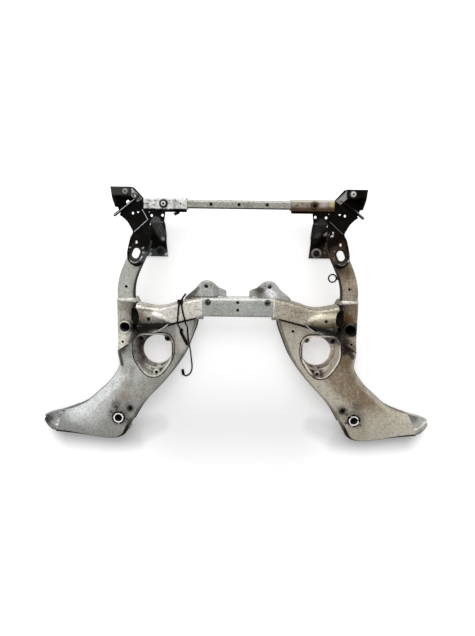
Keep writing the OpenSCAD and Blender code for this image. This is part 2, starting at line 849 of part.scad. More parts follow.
module ear_nut() {
    color([0.6, 0.6, 0.58])
        translate([ear_bolt_c.x, ear_bolt_c.y, ear_top])
            hex_head();
}

module bar_bolt() {
    color([0.2, 0.2, 0.2])
        translate([bar_bolt_x, bar_y, sleeve_top])
            hex_head();
}

module foot_bolt() {
    color([0.3, 0.3, 0.3])
        translate([foot_c.x, foot_c.y, plate_t])
            hex_head();
}

module cradle_bolt() {
    color([0.15, 0.15, 0.15])
        translate([-159, cradle_rear, sleeve_z + 12])
            rotate([90, 0, 0])
                hex_head();
}

module wire_ring() {
    c = [244.5, 118, deck_top - 20];
    color([0.25, 0.25, 0.25])
        difference() {
            union() {
                translate(c)
                    rotate_extrude()
                        translate([10, 0])
                            circle(r = 2, $fn = 16);
                translate([c.x + 8, c.y - 4, c.z - 2])
                    cube([14, 8, 4]);
            }
            arm_solid();
        }
}

module cable_clip() {
    color([0.15, 0.15, 0.15])
        union() {
            translate([-155, 50.2, deck_top])
                cube([14, 10, 5]);
            round_bar(spline(clip_tail, 2), 2.4);
        }
}

module cable_short() {
    color([0.06, 0.06, 0.06])
        difference() {
            round_bar(spline(short_route, 2), cable_r);
            cable_short_sleeve();
        }
}

module cable_short_sleeve() {
    color([0.05, 0.05, 0.05])
        round_bar(spline(short_sleeve_route, 3), cable_sleeve_r, 10);
}

module cable_long() {
    color([0.06, 0.06, 0.06])
        difference() {
            round_bar(spline(long_route, 2), cable_r);
            cable_plug();
        }
}

module cable_plug() {
    color([0.05, 0.05, 0.05])
        round_bar(plug_route, plug_r, 10);
}

place() center_crossmember();
place() side(-1) center_bush();  // center_bush_left
place() side(1) center_bush();  // center_bush_right
place() side(-1) shoulder();  // shoulder_left
place() side(1) shoulder();  // shoulder_right
place() side(-1) arm_socket();  // arm_socket_left
place() side(1) arm_socket();  // arm_socket_right
place() side(-1) pivot_housing();  // pivot_housing_left
place() side(1) pivot_housing();  // pivot_housing_right
place() side(-1) pivot_boss();  // pivot_boss_left
place() side(1) pivot_boss();  // pivot_boss_right
place() side(-1) front_arm();  // front_arm_left
place() side(1) front_arm();  // front_arm_right
place() side(-1) boot_upper();  // boot_upper_left
place() side(1) boot_upper();  // boot_upper_right
place() side(-1) boot_lower();  // boot_lower_left
place() side(1) boot_lower();  // boot_lower_right
place() side(-1) boot_end();  // boot_end_left
place() side(1) boot_end();  // boot_end_right
place() side(-1) mount_pocket();  // mount_pocket_left
place() side(1) mount_pocket();  // mount_pocket_right
place() side(-1) body_sleeve();  // body_sleeve_left
place() side(1) body_sleeve();  // body_sleeve_right
place() side(-1) crush_ring();  // crush_ring_left
place() side(1) crush_ring();  // crush_ring_right
place() side(-1) rack_lug();  // rack_lug_left
place() side(1) rack_lug();  // rack_lug_right
place() side(-1) bracket_plate(false);  // bracket_plate_left
place() side(1) bracket_plate(true);  // bracket_plate_right
place() side(-1) gusset();  // gusset_left
place() side(1) gusset();  // gusset_right
place() side(-1) ear_box();  // ear_box_left
place() side(1) ear_box();  // ear_box_right
place() side(-1) ear_brace();  // ear_brace_left
place() side(1) ear_brace();  // ear_brace_right
place() side(-1) finger();  // finger_left
place() side(1) finger();  // finger_right
place() side(-1) front_leg();  // front_leg_left
place() side(1) front_leg();  // front_leg_right
place() side(-1) bar_cradle();  // bar_cradle_left
place() side(1) bar_cradle();  // bar_cradle_right
place() crossbar();
place() side(-1) bar_sleeve();  // bar_sleeve_left
place() side(1) bar_sleeve();  // bar_sleeve_right
place() side(-1) ear_nut();  // ear_nut_left
place() side(1) ear_nut();  // ear_nut_right
place() side(-1) bar_bolt();  // bar_bolt_left
place() side(1) bar_bolt();  // bar_bolt_right
place() side(-1) foot_bolt();  // foot_bolt_left
place() side(1) foot_bolt();  // foot_bolt_right
place() cradle_bolt();
place() wire_ring();
place() cable_clip();
place() cable_short();
place() cable_short_sleeve();
place() cable_long();
place() cable_plug();
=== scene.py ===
"""Welded light-alloy front subframe of a car, lying on a pale studio floor."""

import math

import bmesh
import bpy
import numpy as np
from mathutils import Matrix, Vector


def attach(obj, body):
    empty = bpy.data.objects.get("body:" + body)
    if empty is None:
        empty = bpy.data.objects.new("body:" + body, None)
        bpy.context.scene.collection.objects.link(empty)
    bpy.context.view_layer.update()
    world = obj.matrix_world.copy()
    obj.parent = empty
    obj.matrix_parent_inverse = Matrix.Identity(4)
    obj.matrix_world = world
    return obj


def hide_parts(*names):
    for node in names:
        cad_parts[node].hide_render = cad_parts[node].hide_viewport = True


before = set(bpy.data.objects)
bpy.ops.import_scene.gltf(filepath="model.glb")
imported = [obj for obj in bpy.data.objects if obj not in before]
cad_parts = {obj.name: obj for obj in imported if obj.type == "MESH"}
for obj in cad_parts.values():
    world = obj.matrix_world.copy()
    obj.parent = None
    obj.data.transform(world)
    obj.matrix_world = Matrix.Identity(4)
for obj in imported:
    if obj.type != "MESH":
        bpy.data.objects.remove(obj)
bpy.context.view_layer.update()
scene = bpy.context.scene
scene.view_settings.view_transform = "Standard"


def put(name, data):
    """New object in the scene, at the origin."""
    made = bpy.data.objects.new(name, data)
    scene.collection.objects.link(made)
    return made


# View. The part lies flat and is seen from above its front edge, with the line of sight
# tipped a little to the rear and the picture turned by less than a degree.
VIEW_HEIGHT = 1.4
VIEW_Y = 0.2717
VIEW_TILT = math.radians(11)
VIEW_ROLL = math.radians(0.8)
SENSOR = 36
FOCAL_SHARE = 500 / 636

look = Vector((0, -math.sin(VIEW_TILT), -math.cos(VIEW_TILT)))
level = Vector((1, 0, 0))
below = look.cross(level)
image_right = level * math.cos(VIEW_ROLL) - below * math.sin(VIEW_ROLL)
image_down = level * math.sin(VIEW_ROLL) + below * math.cos(VIEW_ROLL)
camera = put("camera", bpy.data.cameras.new("camera"))
camera.data.sensor_width = SENSOR
camera.data.lens = SENSOR * FOCAL_SHARE
camera.matrix_world = (
    Matrix.Translation((0, VIEW_Y, VIEW_HEIGHT))
    @ Matrix((image_right, -image_down, -look)).transposed().to_4x4()
)
scene.camera = camera

# Studio. A pale floor, an even white room and one large soft lamp over the front edge,
# so that the soft shadows fall to the rear. The floor's own glow is dimmed in strips
# behind and between the heels, a painted shadow.
ROOM_LIGHT = 0.5
KEY_AT = Vector((-0.2, 2.2, 2.0))
KEY_WATTS = 66
KEY_SIZE = 2.6
FLOOR_HALF = 5.0
FLOOR_TONE = 0.9
FLOOR_GLOW = 0.42
SHADE_GLOW = 0.02


class Wire:
    """One socket of a node tree. Sums and products of wires add the Math nodes for them."""

    def __init__(self, socket):
        self.socket = socket
        self.tree = socket.id_data

    def node(self, kind, settings=None, values=None):
        made = self.tree.nodes.new("ShaderNode" + kind)
        for key, value in (settings or {}).items():
            setattr(made, key, value)
        for key, value in (values or {}).items():
            if isinstance(value, Wire):
                self.tree.links.new(value.socket, made.inputs[key])
            else:
                made.inputs[key].default_value = value
        return made

    def math(self, operation, first, second=0.0, clamp=False):
        settings = {"operation": operation, "use_clamp": clamp}
        return Wire(self.node("Math", settings, {0: first, 1: second}).outputs[0])

    def __add__(self, other):
        return self.math("ADD", self, other)

    def __sub__(self, other):
        return self.math("SUBTRACT", self, other)

    def __rsub__(self, other):
        return self.math("SUBTRACT", other, self)

    def __mul__(self, other):
        return self.math("MULTIPLY", self, other)

    __radd__ = __add__
    __rmul__ = __mul__

    def either(self, *others):
        """The largest of this mask and others."""
        largest = self
        for other in others:
            largest = self.math("MAXIMUM", largest, other)
        return largest

    def step(self, low, high):
        """0 below low, 1 above high and smooth between; low may be the higher one."""
        values = {"Value": self, "From Min": low, "From Max": high}
        made = self.node("MapRange", {"interpolation_type": "SMOOTHSTEP"}, values)
        return Wire(made.outputs[0])

    def mix(self, before, after):
        """Colour that goes from before to after as this mask goes from 0 to 1."""
        made = self.node("Mix", {"data_type": "RGBA"}, {0: self, 6: before, 7: after})
        return Wire(made.outputs[2])

    def stretched(self, scale, turn=0.0):
        """Coordinates turned about the upright axis, in radians, and scaled."""
        values = {"Vector": self, "Scale": scale, "Rotation": (0, 0, turn)}
        return Wire(self.node("Mapping", {}, values).outputs[0])

    def noise(self, scale, detail=4.0, roughness=0.55):
        values = {"Vector": self, "Scale": scale, "Detail": detail, "Roughness": roughness}
        return Wire(self.node("TexNoise", {}, values).outputs[0])

    def spot(self, x, y, reach, fade=0.5):
        """1 in a round spot of the plan, in millimetres, fading out at its reach."""
        flat = self.node("VectorMath", {"operation": "MULTIPLY"}, {0: self, 1: (1, 1, 0)})
        away = self.node(
            "VectorMath", {"operation": "DISTANCE"},
            {0: Wire(flat.outputs[0]), 1: (x * 0.001, y * 0.001, 0)},
        )
        return Wire(away.outputs["Value"]).step(reach * 0.001, reach * 0.001 * fade)

    def strip(self, start, end, half, fade=0.4):
        """1 along a straight line of the plan, in millimetres, fading out at its half width."""
        a = np.array(start, float) * 0.001
        run = np.array(end, float) * 0.001 - a
        rise = run / (run @ run)
        parts = self.node("SeparateXYZ", {}, {0: self})
        x, y = Wire(parts.outputs[0]) - a[0], Wire(parts.outputs[1]) - a[1]
        share = self.math("ADD", x * rise[0], y * rise[1], clamp=True)
        dx, dy = x - share * run[0], y - share * run[1]
        away = self.math("SQRT", dx * dx + dy * dy)
        return away.step(half * 0.001, half * 0.001 * fade)

    def chart(self):
        """The two coordinates of a lofted piece: ring number and point number."""
        place = self.node("UVMap", {"uv_map": "chart"})
        parts = self.node("SeparateXYZ", {}, {0: Wire(place.outputs[0])})
        return Wire(parts.outputs[0]), Wire(parts.outputs[1])

    def band(self, low, rise, fall=None, high=None):
        """Mask that is 1 from rise to fall and 0 outside low and high, or the rise alone."""
        up = self.step(low, rise)
        return up if fall is None else up * self.step(high, fall)


def new_tree(owner):
    owner.use_nodes = True
    owner.node_tree.nodes.clear()
    return owner.node_tree


def seen_white(tree):
    """1 for rays that come from the camera, a mirror or a glass, and 0 for the light itself."""
    path = tree.nodes.new("ShaderNodeLightPath")
    kinds = ("Is Camera Ray", "Is Glossy Ray", "Is Transmission Ray")
    rays = [Wire(path.outputs[kind]) for kind in kinds]
    return rays[0].either(*rays[1:])


scene.world = bpy.data.worlds.new("studio")
room = new_tree(scene.world)
seen = seen_white(room)
lit = seen.node("Background", {}, {"Color": (1, 1, 1, 1), "Strength": ROOM_LIGHT})
white = seen.node("Background", {}, {"Color": (1, 1, 1, 1), "Strength": 1.0})
both = seen.node("MixShader", {}, {0: seen, 1: Wire(lit.outputs[0]), 2: Wire(white.outputs[0])})
seen.node("OutputWorld", {}, {"Surface": Wire(both.outputs[0])})

key = put("key_lamp", bpy.data.lights.new("key_lamp", "AREA"))
key.data.energy = KEY_WATTS
key.data.size = KEY_SIZE
key.location = KEY_AT
key.rotation_euler = (-KEY_AT).to_track_quat("-Z", "Y").to_euler()

floor_mesh = bpy.data.meshes.new("floor")
floor_mesh.from_pydata(
    [(x * FLOOR_HALF, y * FLOOR_HALF, 0) for x, y in ((-1, -1), (1, -1), (1, 1), (-1, 1))],
    [], [(0, 1, 2, 3)],
)
floor = put("floor", floor_mesh)
floor_finish = bpy.data.materials.new("floor_paper")
paper = new_tree(floor_finish)
seen = seen_white(paper)
matt = seen.node("BsdfDiffuse", {}, {"Color": (*[FLOOR_TONE] * 3, 1)})
spread = Wire(seen.node("TexCoord").outputs["Object"])
# Painted shadow: strips behind and between the heels where the floor's glow is dimmed.
shade = spread.strip((-150, -325), (150, -325), 260, 0.0) * 0.7
for k in (-1, 1):
    behind_heel = spread.strip((k * 500, -352), (k * 300, -360), 75, 0.1)
    beside_heel = spread.strip((k * 300, -352), (k * 225, -324), 80, 0.1) * 0.9
    shade = shade.either(behind_heel, beside_heel)
sheen = shade.mix((*[FLOOR_GLOW] * 3, 1), (*[SHADE_GLOW] * 3, 1))
glow = seen.node("Emission", {}, {"Color": seen.mix((0, 0, 0, 1), sheen), "Strength": 1.0})
both = seen.node("AddShader", {}, {0: Wire(matt.outputs[0]), 1: Wire(glow.outputs[0])})
seen.node("OutputMaterial", {}, {"Surface": Wire(both.outputs[0])})
floor_mesh.materials.append(floor_finish)

# Boots. The rear legs are deep pressings of light alloy, an upper shell seamed to a lower
# tray that runs on as an open toe. Rails and heights repeat the solid ones, in millimetres.
MM = 0.001
PLAN_SHIFT = 10.6885
SIDES = (("left", -1), ("right", 1))
BOOT_H = 72
TOE_H = 48
SEAM_Z = 24
BOOT_SHEET = 4
FLANK_W = 45
SEAM_LIP = 4
BOOT_RAILS = [
    (262, 5.4, 112, 7.4, BOOT_H, 0),
    (312, -42, 114, -22, BOOT_H, 0),
    (337, -97, 126, -56, BOOT_H, 0),
    (334, -146, 148, -108, BOOT_H, 0),
    (360, -190, 180, -157, BOOT_H, 0),
    (394, -223, 213, -196, BOOT_H, 0),
    (425, -251, 244, -229, BOOT_H, 0),
    (440, -260, 272, -264, BOOT_H, 0),
    (455, -267, 298, -308, BOOT_H, 0),
    (466, -271, 320, -346, BOOT_H - 1, 0),
    (476, -275, 365, -357, BOOT_H + (TOE_H - BOOT_H) * 0.3, 0),
    (486, -278, 445, -351, BOOT_H + (TOE_H - BOOT_H) * 0.65, 1),
    (495, -281, 522, -346, TOE_H, 4),
]
TOE_RAILS = [(535, -291, 545, -335, TOE_H, 9), (557, -301, 559, -315, TOE_H, 13)]
PATH_STEPS = 6
SHARP_BEND = 35
FLAT_BEND = 1
SAME_POINT = 0.02 * MM
WIRE_EASE = 0.4 * MM
EDGE_EASE = 0.7 * MM
FOLD_EASE = 0.8 * MM
PRESS_EASE = 1.0 * MM
TUBE_EASE = 1.2 * MM
CAST_EASE = 1.4 * MM
SEAT_C = (227, -104)
POCKET = [
    (175, -62), (191, -43), (265, -43), (282, -60), (284, -110),
    (263, -147), (244, -165), (218, -165), (196, -143), (175, -108),
]
POCKET_ROUND = 14
BODY_BOLT = (331, -287)
BODY_SLEEVE_R = 15
BODY_BORE_R = 8.5
LOCATOR = (298, -260)
LOCATOR_SPOT_R = 11
TAB_HOLE = (151, -32)
SMALL_HOLE_R = 4


def row(x, y, z):
    """Plan point in millimetres as a point of the row frame."""
    return Vector((x * MM, (y + PLAN_SHIFT) * MM, z * MM))


def spline(points, steps):
    """Smooth curve through the points, with so many steps from each to the next."""
    p = np.array(points, float)
    curve = []
    for i in range(len(p) - 1):
        a, b, c, d = p[max(i - 1, 0)], p[i], p[i + 1], p[min(i + 2, len(p) - 1)]
        for t in np.arange(steps) / steps:
            bend = (2 * a - 5 * b + 4 * c - d) * t * t + (3 * b - a - 3 * c + d) * t**3
            curve.append(0.5 * (2 * b + (c - a) * t + bend))
    return curve + [p[-1]]


def rounded(outline, reach, steps=6):
    """Outline with its corners rounded over a length."""
    p = [np.array(q, float) for q in outline]
    soft = []
    for i, q in enumerate(p):
        a, b = p[i - 1] - q, p[(i + 1) % len(p)] - q
        la, lb = np.linalg.norm(a), np.linalg.norm(b)
        s, e = q + a / la * min(reach, la / 2.1), q + b / lb * min(reach, lb / 2.1)
        for t in np.linspace(0, 1, steps + 1):
            soft.append((1 - t) ** 2 * s + 2 * t * (1 - t) * q + t * t * e)
    return soft


def new_piece(name, form):
    """Object of a finished bmesh, at the origin."""
    mesh = bpy.data.meshes.new(name)
    form.to_mesh(mesh)
    form.free()
    return put(name, mesh)


def solid(name, rings):
    """Closed solid through rings that all have the same number of points."""
    form = bmesh.new()
    chart = form.loops.layers.uv.new("chart")
    loops = [[form.verts.new(p) for p in ring] for ring in rings]
    count = len(loops[0])
    for r, (a, b) in enumerate(zip(loops, loops[1:])):
        for i in range(count):
            j = (i + 1) % count
            face = form.faces.new((a[i], a[j], b[j], b[i]))
            places = ((r, i), (r, i + 1), (r + 1, i + 1), (r + 1, i))
            for corner, place in zip(face.loops, places):
                corner[chart].uv = place
    form.faces.new(loops[0])
    form.faces.new(loops[-1])
    bmesh.ops.recalc_face_normals(form, faces=form.faces[:])
    return new_piece(name, form)


def mirrored(rings, side):
    return [[Vector((p.x * side, p.y, p.z)) for p in ring] for ring in rings]


def prism(outline, low, high, side=1):
    rings = [[row(x, y, z) for x, y in outline] for z in (low, high)]
    return solid("cutter", mirrored(rings, side))


def circle(count):
    """Angles of so many even steps round a circle."""
    return [2 * math.pi * k / count for k in range(count)]


def disc(centre, r, low, high, side=1):
    ring = [(centre[0] + r * math.cos(a), centre[1] + r * math.sin(a)) for a in circle(40)]
    return prism(ring, low, high, side)


def freeze(piece):
    """The piece as its modifiers leave it, as a plain mesh."""
    graph = bpy.context.evaluated_depsgraph_get()
    mesh = bpy.data.meshes.new_from_object(piece.evaluated_get(graph), depsgraph=graph)
    piece.modifiers.clear()
    piece.data = mesh


def cut(piece, *cutters):
    for cutter in cutters:
        trim = piece.modifiers.new("cut", "BOOLEAN")
        trim.operation = "DIFFERENCE"
        trim.solver = "EXACT"
        trim.object = cutter
    freeze(piece)
    for cutter in cutters:
        bpy.data.objects.remove(cutter)


def dress(piece, finish, slot, *nodes, bend=SHARP_BEND):
    """Smooth shading up to a bend, the finish, and the CAD nodes that the piece stands for."""
    piece.data.materials.clear()
    piece.data.materials.append(finish)
    if bend:
        piece.data.shade_smooth()
        piece.data.set_sharp_from_angle(angle=math.radians(bend))
    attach(piece, "root")
    if nodes:
        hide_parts(*nodes)
    return piece


def rail_frame(s):
    start, end = np.array(s[0:2]), np.array(s[2:4])
    width = np.linalg.norm(end - start)
    return start, (end - start) / width, width


def across_boot(s, profile):
    """Points of a section, given along the section and upwards, as points of the row frame."""
    start, along, _ = rail_frame(s)
    return [row(*(start + along * u), z) for u, z in profile]


def arch(s, inset, steps=12):
    """Upper shell from the outer rail over the top to the inner rail."""
    width = rail_frame(s)[2]
    top = min(s[4], BOOT_H)
    outer, inner = min(FLANK_W, width * 0.4), min(14, width * 0.2)
    drop = min(22, (top - SEAM_Z) * 0.6)
    turns = [math.pi / 2 * k / steps for k in range(steps + 1)]
    rise, far = top - inset - SEAM_Z, width - inset
    flank = [
        (inset + (outer - inset) * (1 - math.cos(a)), SEAM_Z + rise * math.sin(a)) for a in turns
    ]
    edge = [
        (far - (inner - inset) * (1 - math.cos(a)), top - drop + (drop - inset) * math.sin(a))
        for a in turns[::-2]
    ]
    return flank + edge + [(far, SEAM_Z)]


def trough(s, inset, steps=8):
    """Lower tray from the outer rail to the inner rail."""
    width = rail_frame(s)[2]
    floor_z = max(s[5], 0)
    r = min(14, SEAM_Z - 4 - floor_z, width * 0.4)
    q = max(r - inset, 0.5)
    turns = [math.pi / 2 * k / steps for k in range(steps + 1)]
    half = [(inset + q * (1 - math.cos(a)), floor_z + inset + q * (1 - math.sin(a))) for a in turns]
    return half + [(width - u, z) for u, z in reversed(half)]


def shell_ring(s):
    return across_boot(s, arch(s, 0) + arch(s, BOOT_SHEET)[::-1])


def tray_ring(s):
    width = rail_frame(s)[2]
    sheet = min(BOOT_SHEET, width * 0.3)
    lip_z, out = SEAM_Z - 3.5, SEAM_LIP / 4
    inside = [(-out, SEAM_Z), (sheet, SEAM_Z)] + trough(s, sheet)
    edge = width + SEAM_LIP
    rim = [(width - sheet, SEAM_Z), (edge, SEAM_Z), (edge, lip_z), (width, lip_z)]
    return across_boot(s, inside + rim + trough(s, 0)[::-1] + [(0, lip_z), (-out, lip_z)])


def colour(red, green, blue):
    """Colour as it looks on a screen, 0 to 255, as a shader takes it."""
    parts = [c / 255 for c in (red, green, blue)]
    return (*[c / 12.92 if c < 0.04045 else ((c + 0.055) / 1.055) ** 2.4 for c in parts], 1)


# Black of old oil, and of the painted shade in corners, gaps and hollows.
OIL_AND_SHADE_BLACK = colour(20, 16, 11)
DIRT_SHEEN = 0.1
PIT_GREY = colour(86, 82, 74)
WORN_WHITE = colour(236, 236, 232)
OXIDE_BROWN = colour(112, 92, 66)


def new_finish(name, metallic, roughness):
    """Material, its shader, and the object's coordinates."""
    made = bpy.data.materials.new(name)
    tree = new_tree(made)
    at = Wire(tree.nodes.new("ShaderNodeTexCoord").outputs["Object"])
    shader = at.node("BsdfPrincipled", {}, {"Metallic": metallic, "Roughness": roughness})
    at.node("OutputMaterial", {}, {"Surface": Wire(shader.outputs[0])})
    return made, shader, at


def link(shader, socket, wire):
    wire.tree.links.new(wire.socket, shader.inputs[socket])


def relief(shader, height, depth):
    """Bump of a height field, in metres."""
    made = height.node("Bump", {}, {"Height": height, "Distance": depth, "Strength": 1.0})
    link(shader, "Normal", Wire(made.outputs[0]))


def crevice(at, reach=0.014):
    """1 in corners and gaps, from occlusion: painted shade there, and the dirt that stays."""
    made = at.node("AmbientOcclusion", {"samples": 8}, {"Distance": reach})
    return 1 - Wire(made.outputs["AO"])


def edge_wear_and_shade(at, radius=0.0012):
    """1 along the edges: rubbed bare in most finishes, painted shade where the edge colour is dark."""
    soft = at.node("Bevel", {"samples": 6}, {"Radius": radius})
    flat = at.node("NewGeometry")
    turn = at.node(
        "VectorMath", {"operation": "DOT_PRODUCT"},
        {0: Wire(soft.outputs[0]), 1: Wire(flat.outputs["Normal"])},
    )
    return (1 - Wire(turn.outputs["Value"])).step(0.02, 0.16)


def strip(*place):
    """Mask along a line of the plan, as Wire.strip draws it."""
    return lambda at: at.strip(*place)


def spot(*place):
    """Mask of a round spot of the plan, as Wire.spot draws it."""
    return lambda at: at.spot(*place)


def lofted(rings=None, points=None):
    """Mask of a lofted piece between ring and point numbers, given as band takes them."""
    def mask(at):
        ring, point = at.chart()
        if rings and points:
            return ring.band(*rings) * point.band(*points)
        return ring.band(*rings) if rings else point.band(*points)
    return mask


def marked(mask, draw, places, fade, worn):
    """Mask with more places drawn on it, each with its strength last, worn by a texture."""
    for *place, strength in places:
        mask = mask.either(draw(*place, fade) * strength * worn)
    return mask


def alloy(
    name, clean, dull, tints=(), stains=(), oil_and_shade=(), lines=(), stain=OXIDE_BROWN, grain=(1, 1, 1),
    turn=0.0, dirt=1.0, edge=WORN_WHITE, deep=0.014, soot_and_shade=(),
):
    """Weathered light alloy: cloudy oxide, streaks along the grain, pits, stains, oil and painted
    shade.

    tints are (colour, strength, mask of the coordinates), some of them painted highlights and
    shade; stains and the oily spots are round spots (x, y, reach, strength), the oily spots partly
    painted shade; and lines are (start, end, half width, strength) in black, mostly painted shade.
    deep is how far a wall must face another to get black painted shade and dirt, and the sooty
    masks are masks of solid black, partly painted shade.
    """
    made, shader, at = new_finish(name, 0.5, 0.45)
    shader.inputs["Specular IOR Level"].default_value = DIRT_SHEEN
    clouds = at.noise(13, 5, 0.6)
    streaks = at.stretched(grain, turn).noise(70, 5, 0.65)
    mottle = at.noise(260, 5, 0.72)
    tone = clouds.step(0.34, 0.7).mix(clean, dull)
    for tint, strength, mask in tints:
        tone = (mask(at) * strength).mix(tone, tint)
    tone = (streaks.step(0.46, 0.78) * 0.5).mix(tone, dull)
    tone = (streaks.step(0.42, 0.24) * 0.25).mix(tone, WORN_WHITE)
    tone = (at.noise(95, 5, 0.7).step(0.52, 0.72) * 0.25 * dirt).mix(tone, PIT_GREY)
    tone = (mottle.step(0.53, 0.72) * 0.7 * dirt).mix(tone, PIT_GREY)
    tone = (mottle.step(0.43, 0.3) * 0.4).mix(tone, WORN_WHITE)
    speckle = at.noise(210, 2, 0.5)
    tone = (speckle.step(0.55, 0.68) * 0.5 * dirt).mix(tone, PIT_GREY)
    tone = (speckle.step(0.42, 0.3) * 0.2).mix(tone, WORN_WHITE)
    brown = at.noise(28, 5, 0.6).step(0.6, 0.82) * 0.35 * dirt
    brown = marked(brown, at.spot, stains, 0.1, streaks.step(0.2, 0.6))
    tone = brown.mix(tone, stain)
    tone = (edge_wear_and_shade(at) * 0.75).mix(tone, edge)
    # Occlusion blackens corners and hollows: painted shade, with the dirt in them.
    black = crevice(at, deep).step(0.4, 0.8) * (0.7 + 0.6 * clouds)
    black = marked(black, at.spot, oil_and_shade, 0.3, mottle.step(0.2, 0.5))
    black = marked(black, at.strip, lines, 0.4, mottle.step(0.15, 0.45))
    pits = at.noise(380, 3, 0.5).step(0.66, 0.72) * clouds.step(0.42, 0.66) * 0.75 * dirt
    for mask in soot_and_shade:
        black = black.either(mask(at))
    black = at.math("MINIMUM", black.either(pits), 1.0)
    link(shader, "Base Color", black.mix(tone, OIL_AND_SHADE_BLACK))
    link(shader, "Metallic", 0.6 - 0.5 * black.either(brown))
    link(shader, "Roughness", 0.36 + 0.22 * mottle + 0.2 * black)
    relief(shader, mottle + 0.6 * clouds, 0.0005)
    return made


# Masks on a boot's chart, by ring and point number. The bright band along the outer flank is a painted
# highlight and the light on the front of the inner top is painted light; the dark inner edge of the
# top, the inner wall, the foot of the flank and the heel's rear edge get painted shade.
flank_highlight = lofted(rings=(8, 24, 58, 74), points=(1.2, 3.6, 11.6, 12.7))
inner_painted_light = lofted(rings=(3, 8, 34, 44), points=(12.5, 12.75, 13.5, 15))
inner_shade = lofted(points=(12.5, 13.02))
inner_wall_shade = lofted(points=(13.6, 16.5, 20, 20.9))
outer_foot_shade = lofted(points=(2.6, 0.8))
heel_edge_shade = lofted(rings=(44, 50, 71, 74), points=(13.5, 14.5, 16.8, 17.8))
toe_light = lofted(rings=(48, 70))
brown_zone = lofted(rings=(5, 10, 30, 54), points=(5, 9, 12.4, 12.75))


def brown_band(at):
    """Brown stain along the top of the right boot, worn through in spots."""
    return brown_zone(at) * at.noise(120, 5, 0.7).step(0.15, 0.55)


def oil_patches(*places):
    """Old oil, worn through in spots, on places of the plan given as x, y and reach."""
    def mask(at):
        spots = [at.spot(*place, 0.2) for place in places]
        return spots[0].either(*spots[1:]) * at.noise(150, 4, 0.65).step(0.42, 0.55) * 0.9
    return mask


SHOULDER_SHADE = [(97, 16), (120, 11), (143, 5), (169, -2), (193, -9), (214, -18)]


def shade_lines(side):
    """Painted shadow in the gap that the shoulder leaves on the boot behind it."""
    ends = [(side * x, y) for x, y in SHOULDER_SHADE]
    lines = [(a, b, 6.5, 1.0) for a, b in zip(ends, ends[1:])]
    inner_end = ((side * 90, 18), (side * 112, 13), 10, 1.0)
    outer_end = ((side * 206, -8), (side * 268, -25), 13, 1.0)
    return [*lines, inner_end, outer_end]


# On the boots the flank highlight, the light behind the shoulders and the shade on the inner edge,
# inner wall, flank foot and heel are painted light.
BOOT_FINISH = {
    "left": alloy(
        "boot_alloy_left", colour(166, 165, 159), colour(132, 131, 125),
        tints=[
            (colour(142, 146, 144), 0.75, toe_light), (colour(238, 241, 241), 0.75, flank_highlight),
            (colour(140, 137, 130), 0.45, inner_shade), (colour(58, 56, 52), 0.85, inner_wall_shade),
            (colour(54, 53, 50), 0.8, outer_foot_shade),
            # Painted light on the top just behind the shoulder.
            (colour(206, 204, 197), 0.85, strip((-146, -10), (-146, -56), 40, 0.3)),
        ],
        soot_and_shade=[
            heel_edge_shade,
            oil_patches((-337, -248, 17), (-306, -284, 15), (-350, -262, 13), (-314, -262, 14)),
        ],
        stains=[
            (-301, -138, 34, 0.55), (-305, -175, 30, 0.6), (-320, -214, 36, 0.55), (-168, -60, 40, 0.3),
        ],
        oil_and_shade=[
            (-331, -276, 30, 1.0), (-331, -270, 42, 0.45), (-298, -249, 12, 1.0), (-298, -248, 24, 0.4),
            (-337, -240, 22, 0.6), (-322, -76, 26, 0.8),
        ],
        # Painted shadow of the shoulder, and the dark leaf of painted shade below the housing.
        lines=shade_lines(-1) + [
            ((-304, -66), (-324, -80), 7, 0.95), ((-328, -82), (-320, -124), 9, 0.85),
        ],
        stain=colour(118, 104, 82), grain=(1, 0.12, 1), turn=math.radians(-38), dirt=0.9,
    ),
    "right": alloy(
        "boot_alloy_right", colour(182, 176, 160), colour(154, 147, 130),
        tints=[
            (colour(200, 194, 178), 0.7, toe_light), (colour(198, 190, 172), 0.45, flank_highlight),
            (colour(188, 183, 168), 0.7, inner_painted_light), (colour(112, 90, 62), 0.8, brown_band),
            (colour(84, 79, 70), 0.8, inner_wall_shade), (colour(66, 60, 50), 0.8, outer_foot_shade),
        ],
        soot_and_shade=[
            heel_edge_shade,
            oil_patches((311, -254, 18), (346, -292, 13), (313, -284, 14), (302, -244, 13)),
        ],
        stains=[
            (304, -112, 36, 0.6), (325, -147, 36, 0.7), (348, -188, 38, 0.6), (372, -216, 36, 0.4),
        ],
        oil_and_shade=[
            (331, -276, 28, 1.0), (331, -270, 42, 0.4), (298, -249, 13, 1.0), (298, -248, 26, 0.5),
            (338, -236, 24, 0.4), (297, -72, 22, 0.9),
        ],
        # Painted shadow of the shoulder, and the dark leaf of painted shade below the housing.
        lines=shade_lines(1) + [
            ((277, -44), (318, -76), 10, 0.95), ((300, -70), (322, -96), 9, 0.8),
            ((286, -50), (292, -84), 8, 0.7),
        ],
        stain=colour(108, 86, 58), grain=(1, 0.12, 1), turn=math.radians(38), dirt=0.9,
    ),
}


tray_lip = lofted(points=(19.5, 20.5))
toe_only = lofted(rings=(69, 72))


def on_toe(*masks):
    """Masks that count on the open toe alone."""
    def mask(at):
        drawn = [draw(at) for draw in masks]
        return toe_only(at) * drawn[0].either(*drawn[1:])
    return mask


